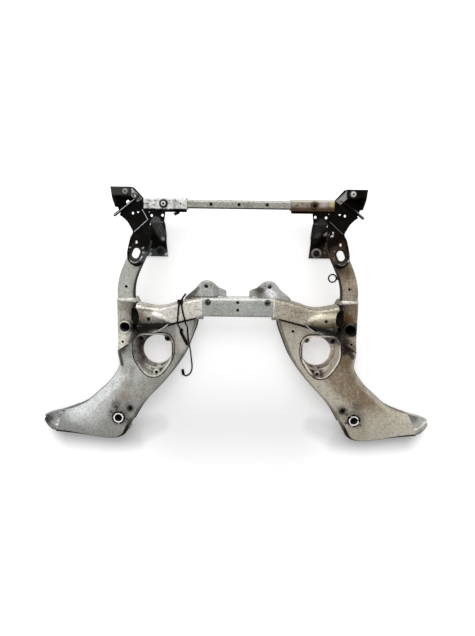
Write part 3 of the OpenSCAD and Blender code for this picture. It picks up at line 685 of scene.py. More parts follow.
# Spots on the polished toes: the dark ones are painted reflection, the bright ones painted highlights.
toe_dark_reflection_left = on_toe(spot(-550, -304, 19, 0.3))
toe_highlight_left = on_toe(spot(-520, -318, 18, 0.2), spot(-515, -288, 9, 0.3))
toe_dark_reflection_right = on_toe(spot(524, -294, 20, 0.2))
toe_highlight_right = on_toe(strip((549, -334), (556, -302), 9, 0.3))
TRAY_FINISH = {
    "left": alloy(
        "tray_alloy_left", colour(150, 150, 147), colour(118, 117, 113),
        tints=[
            (colour(178, 180, 180), 0.6, toe_only), (colour(58, 59, 58), 0.9, toe_dark_reflection_left),
            (colour(244, 245, 245), 0.95, toe_highlight_left), (colour(40, 39, 36), 0.7, tray_lip),
        ],
        dirt=0.5,
    ),
    "right": alloy(
        "tray_alloy_right", colour(158, 154, 144), colour(124, 120, 110),
        tints=[
            (colour(206, 205, 198), 0.8, toe_only), (colour(126, 124, 118), 0.7, toe_dark_reflection_right),
            (colour(250, 250, 248), 0.95, toe_highlight_right), (colour(46, 43, 38), 0.7, tray_lip),
        ],
        dirt=0.5,
    ),
}

for side, k in SIDES:
    rings = [shell_ring(s) for s in spline(BOOT_RAILS, PATH_STEPS)]
    shell = solid(f"boot_shell_{side}", mirrored(rings, k))
    cut(
        shell,
        prism(rounded(POCKET, POCKET_ROUND), SEAM_Z - 1, BOOT_H + 1, k),
        disc(BODY_BOLT, BODY_SLEEVE_R, BOOT_H / 2, BOOT_H + 1, k),
        disc(LOCATOR, SMALL_HOLE_R, BOOT_H / 2, BOOT_H + 1, k),
        disc(LOCATOR, LOCATOR_SPOT_R, BOOT_H - 1.5, BOOT_H + 1, k),
        disc(TAB_HOLE, SMALL_HOLE_R, BOOT_H / 2, BOOT_H + 1, k),
    )
    dress(shell, BOOT_FINISH[side], "alloy", f"boot_upper_{side}")
    rings = [tray_ring(s) for s in spline(BOOT_RAILS + TOE_RAILS, PATH_STEPS)]
    tray = solid(f"boot_tray_{side}", mirrored(rings, k))
    cut(
        tray,
        prism(rounded(POCKET, POCKET_ROUND), -1, SEAM_Z + 1, k),
        disc(BODY_BOLT, BODY_BORE_R + 2, -1, SEAM_Z, k),
    )
    dress(tray, TRAY_FINISH[side], "alloy", f"boot_lower_{side}")


def fit(node, finish, slot, ease=EDGE_EASE):
    """Dressed copy of a fitted solid, with its triangles joined and its edges eased."""
    sharp, flat = math.radians(SHARP_BEND), math.radians(FLAT_BEND)
    form = bmesh.new()
    form.from_mesh(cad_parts[node].data)
    bmesh.ops.remove_doubles(form, verts=form.verts[:], dist=SAME_POINT)
    bmesh.ops.dissolve_limit(form, angle_limit=flat, verts=form.verts[:], edges=form.edges[:])
    piece = new_piece(node + "_piece", form)
    piece.data.shade_smooth()
    piece.data.set_sharp_from_angle(angle=sharp)
    round_off = piece.modifiers.new("eased edges", "BEVEL")
    round_off.width = ease
    round_off.segments = 2
    round_off.limit_method = "ANGLE"
    round_off.angle_limit = sharp
    flats = piece.modifiers.new("flat faces", "WEIGHTED_NORMAL")
    flats.keep_sharp = True
    freeze(piece)
    return dress(piece, finish, slot, node, bend=0)


for side, _ in SIDES:
    fit(f"boot_end_{side}", TRAY_FINISH[side], "alloy")

# Mount pockets. Each is an egg-shaped ring set into the boot, with a round seat for the
# engine mount, three bolt lugs and a slotted web at the rear, stained by old oil.
# A long reach of the occlusion paints shade deep in each ring.
POCKET_FINISH = {
    "left": alloy(
        "pocket_alloy_left", colour(222, 220, 211), colour(164, 160, 148), deep=0.024,
        stains=[(-268, -80, 46, 1.0), (-272, -112, 40, 1.0), (-262, -60, 40, 0.9)],
        oil_and_shade=[(-266, -52, 20, 0.95), (-191, -47, 20, 0.95)],
        lines=[
            ((-284, -60), (-284, -112), 4, 0.9), ((-244, -160), (-262, -144), 4, 0.8),
            ((-176, -60), (-176, -106), 5, 0.9),
        ],
        stain=colour(72, 54, 42), dirt=0.9,
    ),
    "right": alloy(
        "pocket_alloy_right", colour(238, 228, 214), colour(190, 178, 164), deep=0.024,
        stains=[(224, -148, 30, 0.6)],
        oil_and_shade=[
            (266, -52, 24, 0.95), (182, -84, 20, 0.9), (191, -48, 14, 0.7), (211, -150, 12, 0.9),
            (236, -146, 9, 0.8),
        ],
        lines=[((176, -60), (176, -108), 5, 0.9), ((196, -146), (218, -163), 4, 0.8)],
        stain=colour(96, 76, 64), dirt=1.0,
    ),
}
for side, _ in SIDES:
    fit(f"mount_pocket_{side}", POCKET_FINISH[side], "pocket", TUBE_EASE)

# Rear body mounts. A steel sleeve stands in each boot for the body bolt, and a bright
# toothed crush ring lies on its head.
CRUSH_AT = (331, -276.3)
CRUSH_BAND = (11.2, 14.4)


def steel(name, clean, dull, roughness=0.32, grime_and_shade=OIL_AND_SHADE_BLACK, dirt=0.6, tints=(), oil_and_shade=()):
    """Bare or plated steel with a brushed sheen, dull patches, and dirt and painted shade in its
    corners.
    """
    made, shader, at = new_finish(name, 0.9, roughness)
    shader.inputs["Specular IOR Level"].default_value = DIRT_SHEEN
    clouds = at.noise(60, 4, 0.6)
    brush = at.stretched((1, 0.1, 1)).noise(240, 3, 0.6)
    tone = clouds.step(0.4, 0.68).mix(clean, dull)
    tone = (brush.step(0.5, 0.7) * 0.3).mix(tone, dull)
    # Occlusion darkens the corners: painted shade, scaled with the dirt.
    dark = crevice(at, 0.006).step(0.45, 0.85) * dirt
    dark = dark.either(at.noise(210, 4, 0.6).step(0.62, 0.74) * dirt)
    for tint, strength, mask in tints:
        tone = (mask(at) * strength).mix(tone, tint)
    for mask in oil_and_shade:
        dark = dark.either(mask(at) * brush.step(0.25, 0.55))
    link(shader, "Base Color", dark.mix(tone, grime_and_shade))
    link(shader, "Metallic", 0.9 - 0.6 * dark)
    link(shader, "Roughness", roughness + 0.25 * clouds + 0.2 * dark)
    relief(shader, brush + clouds, 0.0002)
    return made


SLEEVE_FINISH = steel("sleeve_steel", colour(52, 50, 45), colour(26, 24, 21), 0.5, dirt=0.9)


def dirty_teeth(at):
    """Dirt on the teeth of both crush rings and at their bores."""
    x, y = CRUSH_AT
    inner, outer = CRUSH_BAND
    rings = [at.spot(k * x, y, outer, 0.92) - at.spot(k * x, y, inner, 0.92) for k in (-1, 1)]
    bare = rings[0].either(rings[1]) * at.noise(90, 4, 0.6).step(0.36, 0.48)
    flecks = at.noise(190, 3, 0.6).step(0.6, 0.66)
    return 1 - bare.either(flecks)


CRUSH_FINISH = steel(
    "crush_ring_steel", colour(248, 248, 246), colour(206, 205, 200), 0.25, dirt=0.3,
    tints=[(OIL_AND_SHADE_BLACK, 1.0, dirty_teeth)],
)
for side, _ in SIDES:
    fit(f"body_sleeve_{side}", SLEEVE_FINISH, "alloy")
    fit(f"crush_ring_{side}", CRUSH_FINISH, "bare_steel", FOLD_EASE)

# Centre tube. A straight extruded box tube across the middle, brushed along its length,
# with a bush at each end for the large bolts and two small holes between them.
# The bright strip along the front top edge is a painted highlight, the dark line along the rear edge
# painted shade.
CENTRE_FINISH = alloy(
    "centre_alloy", colour(166, 168, 164), colour(136, 138, 134),
    stain=colour(120, 112, 98), edge=colour(214, 215, 211),
    oil_and_shade=[(0, 64.7, 6, 1.0), (0, 44.7, 6, 1.0)], grain=(0.06, 1, 1), dirt=0.7,
    tints=[(colour(232, 232, 228), 0.7, strip((-94, 75.7), (94, 75.7), 5, 0.4))],
    lines=[((-94, 25.7), (94, 25.7), 3, 0.7)], deep=0.02,
)
BUSH_FINISH = steel("bush_steel", colour(92, 91, 87), colour(46, 45, 42), 0.45, dirt=1.0)
fit("center_crossmember", CENTRE_FINISH, "alloy", TUBE_EASE)
for side, _ in SIDES:
    fit(f"center_bush_{side}", BUSH_FINISH, "alloy", TUBE_EASE)

# Shoulders. Tapered tubes of light alloy that flare from the centre tube to the housings.
# A conical socket with an open mouth is let into each one, for the inner end of an arm.
DECK_Z = 72
DECK_TOP = 128
TUBE_R = 9
TUBE_WALL = 4
SHOULDER_END = 262
SHOULDER = [
    (94, 65, 15, TUBE_R), (116, 60.5, 10, TUBE_R), (138, 56, 4.5, TUBE_R),
    (163, 48.5, -2, TUBE_R + 1), (186, 40.5, -8.5, TUBE_R + 5), (209, 38, -18, 22),
    (232, 40.5, -28, 30), (SHOULDER_END, 47, -36, 36),
]
SOCKET_TIP = Vector((174, 8, 116))
SOCKET_MOUTH = Vector((280, 14, 119))
SOCKET_R = 25
SOCKET_MIDDLE = (0, 0.022, 0.1175)
SOCKET_SHAPE = [(0, 0.14), (0.075, 0.42), (0.17, 0.64), (0.34, 0.88), (0.5, 0.98), (0.72, 1), (1, 1)]


def quarter(cu, cv, r, start, steps):
    turns = [math.radians(start + 90 * k / steps) for k in range(steps + 1)]
    return [(cu + r * math.cos(a), cv + r * math.sin(a)) for a in turns]


def box_section(u0, u1, v0, v1, r, upper_left, steps=6):
    """Box with rounded corners, the upper left one with a radius of its own."""
    q = upper_left
    return (
        quarter(u0 + r, v0 + r, r, 180, steps) + quarter(u1 - r, v0 + r, r, 270, steps)
        + quarter(u1 - r, v1 - r, r, 0, steps) + quarter(u0 + q, v1 - q, q, 90, steps)
    )


def shoulder_ring(s, inset=0, over=0):
    x, front, rear, corner = s
    r, q = max(TUBE_R - inset, 1), max(corner - inset, 1)
    section = box_section(rear + inset, front - inset, DECK_Z + inset, DECK_TOP - inset, r, q)
    return [row(x + over, y, z) for y, z in section]


def socket_bullet():
    """Rings of the socket from its tip to its mouth."""
    axis = SOCKET_MOUTH - SOCKET_TIP
    side_a = axis.cross(Vector((0, 0, 1))).normalized()
    side_b = axis.cross(side_a).normalized()
    around = [side_a * math.cos(a) + side_b * math.sin(a) for a in circle(48)]
    rings = []
    for share, width in SOCKET_SHAPE:
        middle = SOCKET_TIP + axis * share
        rings.append([row(*(middle + spoke * SOCKET_R * width)) for spoke in around])
    return rings


# The black along the rear of each shoulder, from the socket down to the boot, and the line along its
# lower edge are painted shade over oily dirt.
SHOULDER_FINISH = {
    "left": alloy(
        "shoulder_alloy_left", colour(216, 213, 203), colour(190, 187, 177), grain=(0.15, 1, 1),
        turn=math.radians(18), stain=colour(140, 126, 104), stains=[(-236, 44, 24, 0.5)],
        oil_and_shade=[(-240, -20, 32, 1.0), (-262, -18, 36, 1.0), (-262, 18, 16, 0.9)], dirt=1.3,
        lines=[((-184, 0), (-262, -20), 18, 1.0), ((-140, 9), (-180, -4), 5, 0.9)],
        soot_and_shade=[strip((-196, -4), (-264, -14), 15, 0.6)],
    ),
    "right": alloy(
        "shoulder_alloy_right", colour(178, 169, 153), colour(150, 141, 125), grain=(0.15, 1, 1),
        turn=math.radians(-18), stain=colour(108, 86, 62),
        stains=[(196, 4, 26, 0.7), (222, 2, 30, 0.8), (160, 40, 30, 0.35)],
        oil_and_shade=[(240, -22, 28, 0.95), (264, -14, 36, 1.0), (262, 18, 14, 0.8)], dirt=1.4,
        lines=[((190, -3), (262, -20), 16, 1.0), ((140, 9), (186, -8), 5, 0.9)],
        soot_and_shade=[lambda at: at.strip((216, -8), (264, -16), 13, 0.5) * 0.85],
    ),
}


def socket_hollow_shade(at):
    """Inside of a socket, where the faces look to its axis, made solid black as painted shade."""
    around = at.node("VectorMath", {"operation": "SUBTRACT"}, {0: at, 1: SOCKET_MIDDLE})
    spoke = {0: Wire(around.outputs[0]), 1: (0, 1, 1)}
    flat = at.node("VectorMath", {"operation": "MULTIPLY"}, spoke)
    faces = Wire(at.node("NewGeometry").outputs["Normal"])
    pair = {0: Wire(flat.outputs[0]), 1: faces}
    facing = at.node("VectorMath", {"operation": "DOT_PRODUCT"}, pair)
    return Wire(facing.outputs["Value"]).step(0.002, -0.004)


def socket_rear_oil_and_shade(side):
    """Rear half of a socket, brown with oily dirt and darker downwards with painted shade."""
    return strip((side * 176, 3), (side * 270, -1), 23, 0.15)


def socket_front_highlight(side):
    """Painted highlight on the front half of a socket, where the light falls on it."""
    return strip((side * 184, 22), (side * 214, 37), 10, 0.1)


# On the sockets the lines and the strip along the underside are painted shade over oily dirt.
SOCKET_FINISH = {
    "left": alloy(
        "socket_alloy_left", colour(142, 139, 130), colour(104, 100, 91), stain=colour(98, 86, 68),
        tints=[
            (colour(50, 44, 35), 0.95, socket_rear_oil_and_shade(-1)), (colour(236, 235, 230), 0.9, socket_front_highlight(-1)),
        ],
        soot_and_shade=[socket_hollow_shade, strip((-200, 0), (-270, 0), 12, 0.5)],
        stains=[(-252, 30, 22, 0.9), (-240, 20, 20, 0.7)],
        oil_and_shade=[(-228, 20.7, 8, 1.0), (-256, 12, 14, 0.8)], grain=(0.2, 1, 1), dirt=0.9, deep=0.05,
        lines=[((-178, 0), (-270, -8), 13, 1.0), ((-250, 4), (-270, 8), 10, 0.8)],
    ),
    "right": alloy(
        "socket_alloy_right", colour(174, 165, 146), colour(134, 123, 103), stain=colour(108, 88, 62),
        tints=[
            (colour(74, 60, 42), 0.9, socket_rear_oil_and_shade(1)), (colour(228, 220, 200), 0.8, socket_front_highlight(1)),
        ],
        soot_and_shade=[socket_hollow_shade],
        stains=[(196, 8, 14, 0.7), (244, 12, 18, 0.6)],
        oil_and_shade=[(228, 20.7, 7, 1.0), (250, 8, 12, 0.5)], grain=(0.2, 1, 1), dirt=0.9, deep=0.05,
        lines=[((182, -2), (270, -6), 11, 0.95)],
    ),
}
for side, k in SIDES:
    path = spline(SHOULDER, PATH_STEPS)
    tube = solid(f"shoulder_tube_{side}", mirrored([shoulder_ring(s) for s in path], k))
    last = len(path) - 1
    hollow = [shoulder_ring(s, TUBE_WALL, (i == last) - (i == 0)) for i, s in enumerate(path)]
    cut(tube, solid("cutter", mirrored(hollow, k)), solid("cutter", mirrored(socket_bullet(), k)))
    dress(tube, SHOULDER_FINISH[side], "alloy", f"shoulder_{side}")
    fit(f"arm_socket_{side}", SOCKET_FINISH[side], "alloy", PRESS_EASE)

# Pivot housings. A cast block closes the outer end of each shoulder, with a ramp in front
# of the socket's mouth and a bored boss for the strut.
BOSS_AT = (294, -4.3)
BOSS_RIM = (13.5, 16.5)


def boss_ring(at):
    """Bright rim of the left boss."""
    x, y = -BOSS_AT[0], BOSS_AT[1]
    return at.spot(x, y, BOSS_RIM[1], 0.9) - at.spot(x, y, BOSS_RIM[0], 0.9)


# The black in the slot between each shoulder's end and its housing, in the bore of the boss and along
# the edge below the block is painted shade, with old oil round it.
HOUSING_FINISH = {
    "left": alloy(
        "housing_alloy_left", colour(190, 187, 176), colour(148, 145, 135), stain=colour(112, 100, 82),
        stains=[(-296, 44, 20, 0.7), (-282, 34, 18, 0.8)],
        tints=[
            (colour(228, 227, 212), 0.85, strip((-304, -32), (-316, -62), 17, 0.5)),
            (colour(212, 210, 202), 0.75, boss_ring),
        ],
        oil_and_shade=[(-270, -6, 24, 1.0), (-294, -4.3, 14, 1.0), (-277, -44, 14, 0.9), (-272, 24, 15, 0.9)],
        lines=[((-302, -64), (-318, -74), 5, 0.9), ((-270, 12), (-276, -40), 9, 0.8)],
        soot_and_shade=[strip((-270, 2), (-268, -20), 10, 0.5)],
        grain=(1, 0.2, 1), dirt=1.0, deep=0.03,
    ),
    "right": alloy(
        "housing_alloy_right", colour(164, 154, 138), colour(116, 104, 88), stain=colour(92, 64, 32),
        stains=[(290, 24, 30, 1.0), (300, 44, 26, 0.7)],
        tints=[(colour(84, 70, 52), 0.75, strip((286, -32), (302, -54), 16, 0.4))],
        oil_and_shade=[
            (280, -4, 32, 1.0), (296, -4.3, 22, 1.0), (308, 4, 16, 0.9), (284, -40, 18, 0.95),
            (268, 22, 12, 0.9), (312, -74, 14, 0.8), (292, -64, 10, 0.8),
        ],
        lines=[((277, -44), (316, -74), 9, 0.95), ((272, 10), (282, -52), 10, 0.9)],
        soot_and_shade=[spot(300, -8, 18, 0.7)], grain=(1, 0.2, 1), dirt=1.3, deep=0.03,
    ),
}
for side, _ in SIDES:
    for node in (f"pivot_housing_{side}", f"pivot_boss_{side}"):
        fit(node, HOUSING_FINISH[side], "alloy", CAST_EASE)

# Front arms. Curved box tubes that run forward from the housings, drawn lengthwise, with an
# oval window near the front end.
ARM_W = 42
ARM_H = 42
ARM_START = 58
ARM_X = 289.5
ARM_LINE = [
    (ARM_X, ARM_START), (ARM_X, 80), (286, 104), (279.5, 125), (270, 147), (259, 170),
    (249, 192), (243, 212),
]
ARM_HOLE = (286, 92)
OVAL_C = (259, 177)
PLATE_HOLE = (258, 205)
OVAL_LEN = 44
OVAL_W = 30
OVAL_TURN = math.radians(24)


def slot_outline(centre, length, width, turn, count=14):
    """Slot with round ends, turned in plan."""
    half, r = (length - width) / 2, width / 2
    turns = [math.pi * k / count for k in range(count + 1)]
    ends = [(r * math.cos(a), half + r * math.sin(a)) for a in turns]
    ends += [(-x, -y) for x, y in ends]
    c, s = math.cos(turn), math.sin(turn)
    return [(centre[0] + x * c - y * s, centre[1] + x * s + y * c) for x, y in ends]


def arm_ring(line, i, inset=0.0, back=0.0):
    ahead = np.array([0, 1]) if i == 0 else line[min(i + 1, len(line) - 1)] - line[i - 1]
    ahead = ahead / np.linalg.norm(ahead)
    out = np.array([-ahead[1], ahead[0]])
    half, r = ARM_W / 2 - inset, max(TUBE_R - inset, 1)
    section = box_section(-half, half, DECK_TOP - ARM_H + inset, DECK_TOP - inset, r, r)
    return [row(*(line[i] + out * u + ahead * back), z) for u, z in section]


# Black inner wall of an arm: painted shade, and dirt.
arm_inner_shade_and_dirt = lofted(points=(9, 12.4, 14.8, 17))


def oval_black(side):
    """Solid black on the arm round and inside the oval hole."""
    return lambda at: at.strip((side * 262, 182), (side * 256, 194), 18, 0.88) * 0.9


def oval_rim(side, points):
    """Bright rim below the oval hole, where the plate's edge has rubbed the arm."""
    ends = [(side * x, y) for x, y in points]

    def mask(at):
        lights = [at.strip(a, b, 2.6) for a, b in zip(ends, ends[1:])]
        return lights[0].either(*lights[1:])
    return mask


LEFT_RUB = ((273, 168), (261, 165), (249, 172), (243, 180))
RIGHT_RUB = ((256, 167), (267, 168), (279, 176))
ARM_FINISH = {
    "left": alloy(
        "arm_alloy_left", colour(180, 181, 175), colour(152, 152, 145), grain=(1, 0.05, 1), dirt=0.7,
        oil_and_shade=[(-259, 192, 18, 1.0), (-236, 200, 36, 1.0)], stain=colour(130, 120, 100),
        tints=[(colour(240, 237, 232), 0.95, oval_rim(-1, LEFT_RUB))],
        soot_and_shade=[arm_inner_shade_and_dirt, oval_black(-1)],
    ),
    "right": alloy(
        "arm_alloy_right", colour(160, 149, 130), colour(126, 113, 94), grain=(1, 0.08, 1), dirt=1.3,
        oil_and_shade=[(259, 192, 18, 0.95), (236, 200, 36, 1.0), (262, 150, 16, 0.5)],
        stain=colour(84, 66, 46), stains=[(270, 148, 36, 1.0)], soot_and_shade=[arm_inner_shade_and_dirt, oval_black(1)],
        tints=[(colour(244, 236, 226), 0.95, oval_rim(1, RIGHT_RUB))],
    ),
}
for side, k in SIDES:
    line = spline(ARM_LINE, PATH_STEPS)
    last = len(line) - 1
    arm = solid(f"front_arm_tube_{side}", mirrored([arm_ring(line, i) for i in range(last + 1)], k))
    hollow = [arm_ring(line, i, TUBE_WALL, (i == last) - (i == 0)) for i in range(last + 1)]
    low, middle, high = DECK_TOP - ARM_H - 1, DECK_TOP - ARM_H / 2, DECK_TOP + 1
    upper_oval = slot_outline(OVAL_C, OVAL_LEN - 17, OVAL_W - 12, OVAL_TURN)
    lower_oval = slot_outline((OVAL_C[0] + 4, OVAL_C[1]), OVAL_LEN - 8, OVAL_W, OVAL_TURN)
    cut(
        arm,
        solid("cutter", mirrored(hollow, k)),
        prism(upper_oval, middle, high, k),
        prism(lower_oval, low, middle, k),
        disc(ARM_HOLE, SMALL_HOLE_R, DECK_TOP - TUBE_WALL - 1, high, k),
        disc(PLATE_HOLE, SMALL_HOLE_R, middle, high, k),
        disc((PLATE_HOLE[0] + 7, PLATE_HOLE[1] - 1), 8, low, middle, k),
    )
    dress(arm, ARM_FINISH[side], "alloy", f"front_arm_{side}")

# Rack lugs. Cast turrets of light alloy, welded to the front of the centre tube, that carry
# the bolts of the steering rack. A dark insert sits in each hole.
RACK_HOLE = (82, 94)
INSERT_R = 5
INSERT_BORE_R = 1.4


def lug_shade(at):
    """Sides of the lugs that face away from the light."""
    return at.spot(-122, 84, 26, 0.4).either(at.spot(56, 92, 16, 0.3))


# On the lugs the sides that face away from the lamp and the dark lines on their left wings are painted
# shade, and the bright strip on the right lug is a painted highlight.
LUG_FINISH = alloy(
    "lug_alloy", colour(188, 188, 186), colour(142, 141, 137), dirt=1.1, stain=colour(112, 100, 84),
    tints=[
        (colour(92, 88, 80), 0.55, lug_shade),
        (colour(238, 239, 240), 0.8, strip((82, 92), (94, 80), 14, 0.3)),
    ],
    lines=[
        ((40, 100), (62, 96), 9, 0.5), ((-128, 74), (-104, 98), 8, 0.5),
        ((-40, 77), (-130, 77), 3, 0.6),
    ],
)
INSERT_FINISH = steel("insert_steel", colour(58, 57, 54), colour(30, 29, 27), 0.5, dirt=0.9)
for side, k in SIDES:
    insert = disc(RACK_HOLE, INSERT_R, 92, 108, k)
    cut(insert, disc(RACK_HOLE, INSERT_BORE_R, 91, 109, k))
    insert.name = f"rack_insert_{side}"
    dress(insert, INSERT_FINISH, "alloy")
    fit(f"rack_lug_{side}", LUG_FINISH, "alloy", CAST_EASE)

# Welds. Beads of filler along the seams of the alloy frame: across the ends of the centre
# tube and of the arms, along the lugs and shoulders, round the pockets and along the boots.
WELD_FINISH = steel("weld_alloy", colour(222, 220, 212), colour(150, 146, 136), 0.4, dirt=0.9)


def grown(name, points, edges, tree, sizes):
    """Piece that a geometry tree grows on points and edges of the row frame."""
    mesh = bpy.data.meshes.new(name)
    mesh.from_pydata(points, edges, [])
    piece = put(name, mesh)
    growth = piece.modifiers.new("growth", "NODES")
    growth.node_group = tree
    for item in tree.interface.items_tree:
        if item.item_type == "SOCKET" and item.in_out == "INPUT" and item.name in sizes:
            growth[item.identifier] = sizes[item.name]
    return piece


def new_geometry_tree(name, sizes):
    """Empty geometry tree with named sizes and a material, and its first and last node."""
    tree = bpy.data.node_groups.new(name, "GeometryNodeTree")
    tree.interface.new_socket("Geometry", in_out="INPUT", socket_type="NodeSocketGeometry")
    for size in sizes:
        tree.interface.new_socket(size, in_out="INPUT", socket_type="NodeSocketFloat")
    tree.interface.new_socket("Material", in_out="INPUT", socket_type="NodeSocketMaterial")
    tree.interface.new_socket("Geometry", in_out="OUTPUT", socket_type="NodeSocketGeometry")
    return tree, tree.nodes.new("NodeGroupInput"), tree.nodes.new("NodeGroupOutput")


def grow(tree, kind, settings=None, values=None):
    """Geometry node with its settings, then the values or links of its sockets."""
    made = tree.nodes.new(kind)
    for name, value in (settings or {}).items():
        setattr(made, name, value)
    for name, value in (values or {}).items():
        if isinstance(value, bpy.types.NodeSocket):
            tree.links.new(value, made.inputs[name])
        else:
            made.inputs[name].default_value = value
    return made


def close_tree(tree, first, last, geometry):
    """Ends a tree in plain faces with smooth shading and the given material."""
    plain = grow(tree, "GeometryNodeRealizeInstances", {}, {"Geometry": geometry})
    smooth = grow(tree, "GeometryNodeSetShadeSmooth", {}, {"Geometry": plain.outputs[0]})
    coat = {"Geometry": smooth.outputs[0], "Material": first.outputs["Material"]}
    tree.links.new(grow(tree, "GeometryNodeSetMaterial", {}, coat).outputs[0], last.inputs[0])


weld_tree, first, last = new_geometry_tree("Weld bead", ("Pitch", "Width", "Height"))
seam = grow(weld_tree, "GeometryNodeMeshToCurve", {}, {"Mesh": first.outputs["Geometry"]})
dots = grow(
    weld_tree, "GeometryNodeResampleCurve", {"mode": "LENGTH"},
    {"Curve": seam.outputs[0], "Length": first.outputs["Pitch"]},
)
drop = grow(weld_tree, "GeometryNodeMeshUVSphere", {}, {"Segments": 8, "Rings": 5, "Radius": 0.5})
heading = grow(weld_tree, "GeometryNodeInputTangent")
turned = grow(
    weld_tree, "FunctionNodeAlignRotationToVector", {"axis": "X"}, {"Vector": heading.outputs[0]},
)
length = grow(
    weld_tree, "ShaderNodeMath", {"operation": "MULTIPLY"}, {0: first.outputs["Pitch"], 1: 1.7},
)
spread = grow(
    weld_tree, "ShaderNodeCombineXYZ", {},
    {"X": length.outputs[0], "Y": first.outputs["Width"], "Z": first.outputs["Height"]},
)
uneven = grow(
    weld_tree, "FunctionNodeRandomValue", {"data_type": "FLOAT"},
    {"Min": 0.78, "Max": 1.2, "Seed": 11},
)
uneven_out = next(s for s in uneven.outputs if s.type == "VALUE" and s.enabled)
sized = grow(
    weld_tree, "ShaderNodeVectorMath", {"operation": "SCALE"},
    {"Vector": spread.outputs[0], "Scale": uneven_out},
)
beads = grow(
    weld_tree, "GeometryNodeInstanceOnPoints", {},
    {
        "Points": dots.outputs[0], "Instance": drop.outputs[0],
        "Rotation": turned.outputs[0], "Scale": sized.outputs[0],
    },
)
close_tree(weld_tree, first, last, beads.outputs[0])


def weld(name, seams, pitch, width, height, finish=WELD_FINISH):
    """Beads along several seams, given as points of the row frame, as one plain mesh."""
    points, edges = [], []
    for line in seams:
        edges += [(len(points) + i, len(points) + i + 1) for i in range(len(line) - 1)]
        points += list(line)
    sizes = {"Pitch": pitch * MM, "Width": width * MM, "Height": height * MM, "Material": finish}
    piece = grown(name, points, edges, weld_tree, sizes)
    freeze(piece)
    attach(piece, "root")
    return piece


def both_sides(lines):
    return [[Vector((p.x * k, p.y, p.z)) for p in line] for line in lines for k in (-1, 1)]


tube_top = [p for p in shoulder_ring(SHOULDER[0]) if p.z > 0.09]
arm_end = arm_ring(spline(ARM_LINE, PATH_STEPS), 0)
arm_top = [p for p in arm_end if p.z > 0.1]
weld("weld_centre", both_sides([tube_top]), 3.2, 5.5, 1.6)
weld("weld_arms", both_sides([arm_top]), 3.6, 9, 3)
lug_seam = [row(x, 65, 104) for x in range(40, 128, 8)]
weld("weld_lugs", both_sides([lug_seam]), 3.4, 5, 4)
SHOULDER_SEAM = ((186, -14), (197, -24), (212, -33), (228, -40), (246, -45))
shoulder_seam = [row(x, y, BOOT_H) for x, y in SHOULDER_SEAM]
weld("weld_shoulders", both_sides([shoulder_seam]), 3, 4, 1.6)


def lip_line(first_rail, last_rail, out, z):
    """Line along the inner lip of a boot between two of its rails."""
    line = []
    for s in spline(BOOT_RAILS, PATH_STEPS)[first_rail * PATH_STEPS:last_rail * PATH_STEPS + 1]:
        start, along, width = rail_frame(s)
        line.append(row(*(start + along * (width + out)), z))
    return line


RIM_FINISH = steel("rim_alloy", colour(226, 224, 216), colour(150, 146, 136), 0.4, dirt=0.9)
SEAM_FINISH = steel("seam_dirt", colour(84, 79, 70), colour(30, 28, 24), 0.55, dirt=1.0)
seat_x, seat_y = SEAT_C
POCKET_GAP = [(seat_x + (x - seat_x) * 1.06, seat_y + (y - seat_y) * 1.05) for x, y in POCKET]
rim = [row(x, y, BOOT_H + 0.6) for x, y in rounded(POCKET, POCKET_ROUND + 2)]
gap = [row(x, y, BOOT_H) for x, y in rounded(POCKET_GAP, POCKET_ROUND + 4)]
weld("weld_heels", both_sides([lip_line(8, 12, 1.5, SEAM_Z)]), 5, 7, 3.5, RIM_FINISH)
weld("weld_boot_seams", both_sides([lip_line(1, 8, 1.2, SEAM_Z)]), 3, 3.4, 2, SEAM_FINISH)
weld("weld_pockets", both_sides([rim + rim[:1]]), 2.6, 2.4, 1.8, RIM_FINISH)
weld("pocket_gaps", both_sides([gap + gap[:1]]), 3, 3.4, 0.8, SEAM_FINISH)

# Front brackets. Folded black steel, bolted through the ends of the arms: a plate with an
# oval hole, a gusset over it, an open ear box, a pointed finger, a leg and a bar cradle.
PAINT_BLACK = colour(14, 13, 12)
ROAD_DUST = colour(58, 56, 52)
PAINT_SHEEN = 0.02
BARE_STEEL = colour(206, 207, 208)
RUST_BROWN = colour(84, 54, 36)


def painted(
    name, coat=PAINT_BLACK, dust=ROAD_DUST, wear=0.7, dusty=0.45,
    patches=(), lines=(), rust=(), tints=(),
):
    """Old black coating: dusty, scuffed to bare steel along its edges, rusty where it failed."""
    made, shader, at = new_finish(name, 0.0, 0.4)
    shader.inputs["Specular IOR Level"].default_value = PAINT_SHEEN
    clouds = at.noise(38, 5, 0.62)
    fine = at.noise(210, 4, 0.65)
    tone = (clouds.step(0.46, 0.76) * dusty).mix(coat, dust)
    tone = (fine.step(0.6, 0.76) * dusty).mix(tone, dust)
    for tint, strength, mask in tints:
        tone = (mask(at) * strength * fine.step(0.2, 0.5)).mix(tone, tint)
    red = fine.step(0.7, 0.8) * 0.3
    red = marked(red, at.spot, rust, 0.2, fine.step(0.3, 0.6))
    tone = red.mix(tone, RUST_BROWN)
    bare = edge_wear_and_shade(at, 0.0012) * clouds.step(0.42, 0.62) * fine.step(0.4, 0.6) * wear
    bare = marked(bare, at.spot, patches, 0.35, fine.step(0.36, 0.56))
    bare = marked(bare, at.strip, lines, 0.5, fine.step(0.28, 0.46))
    link(shader, "Base Color", bare.mix(tone, BARE_STEEL))
    link(shader, "Metallic", bare * 0.8)
    link(shader, "Roughness", 0.4 + 0.3 * clouds + 0.15 * red)
    relief(shader, fine + clouds, 0.0003)
    return made


def leg_panel(side):
    return strip((side * 206, 268), (side * 207, 224), 14, 0.7)


def leg_ribs(side):
    """Rubbed edges of the ribs that are pressed into the leg."""
    def mask(at):
        ribs = [at.strip((side * x, 268), (side * x, 226), 2.2, 0.3) for x in (197, 204, 211, 218)]
        return ribs[0].either(*ribs[1:])
    return mask


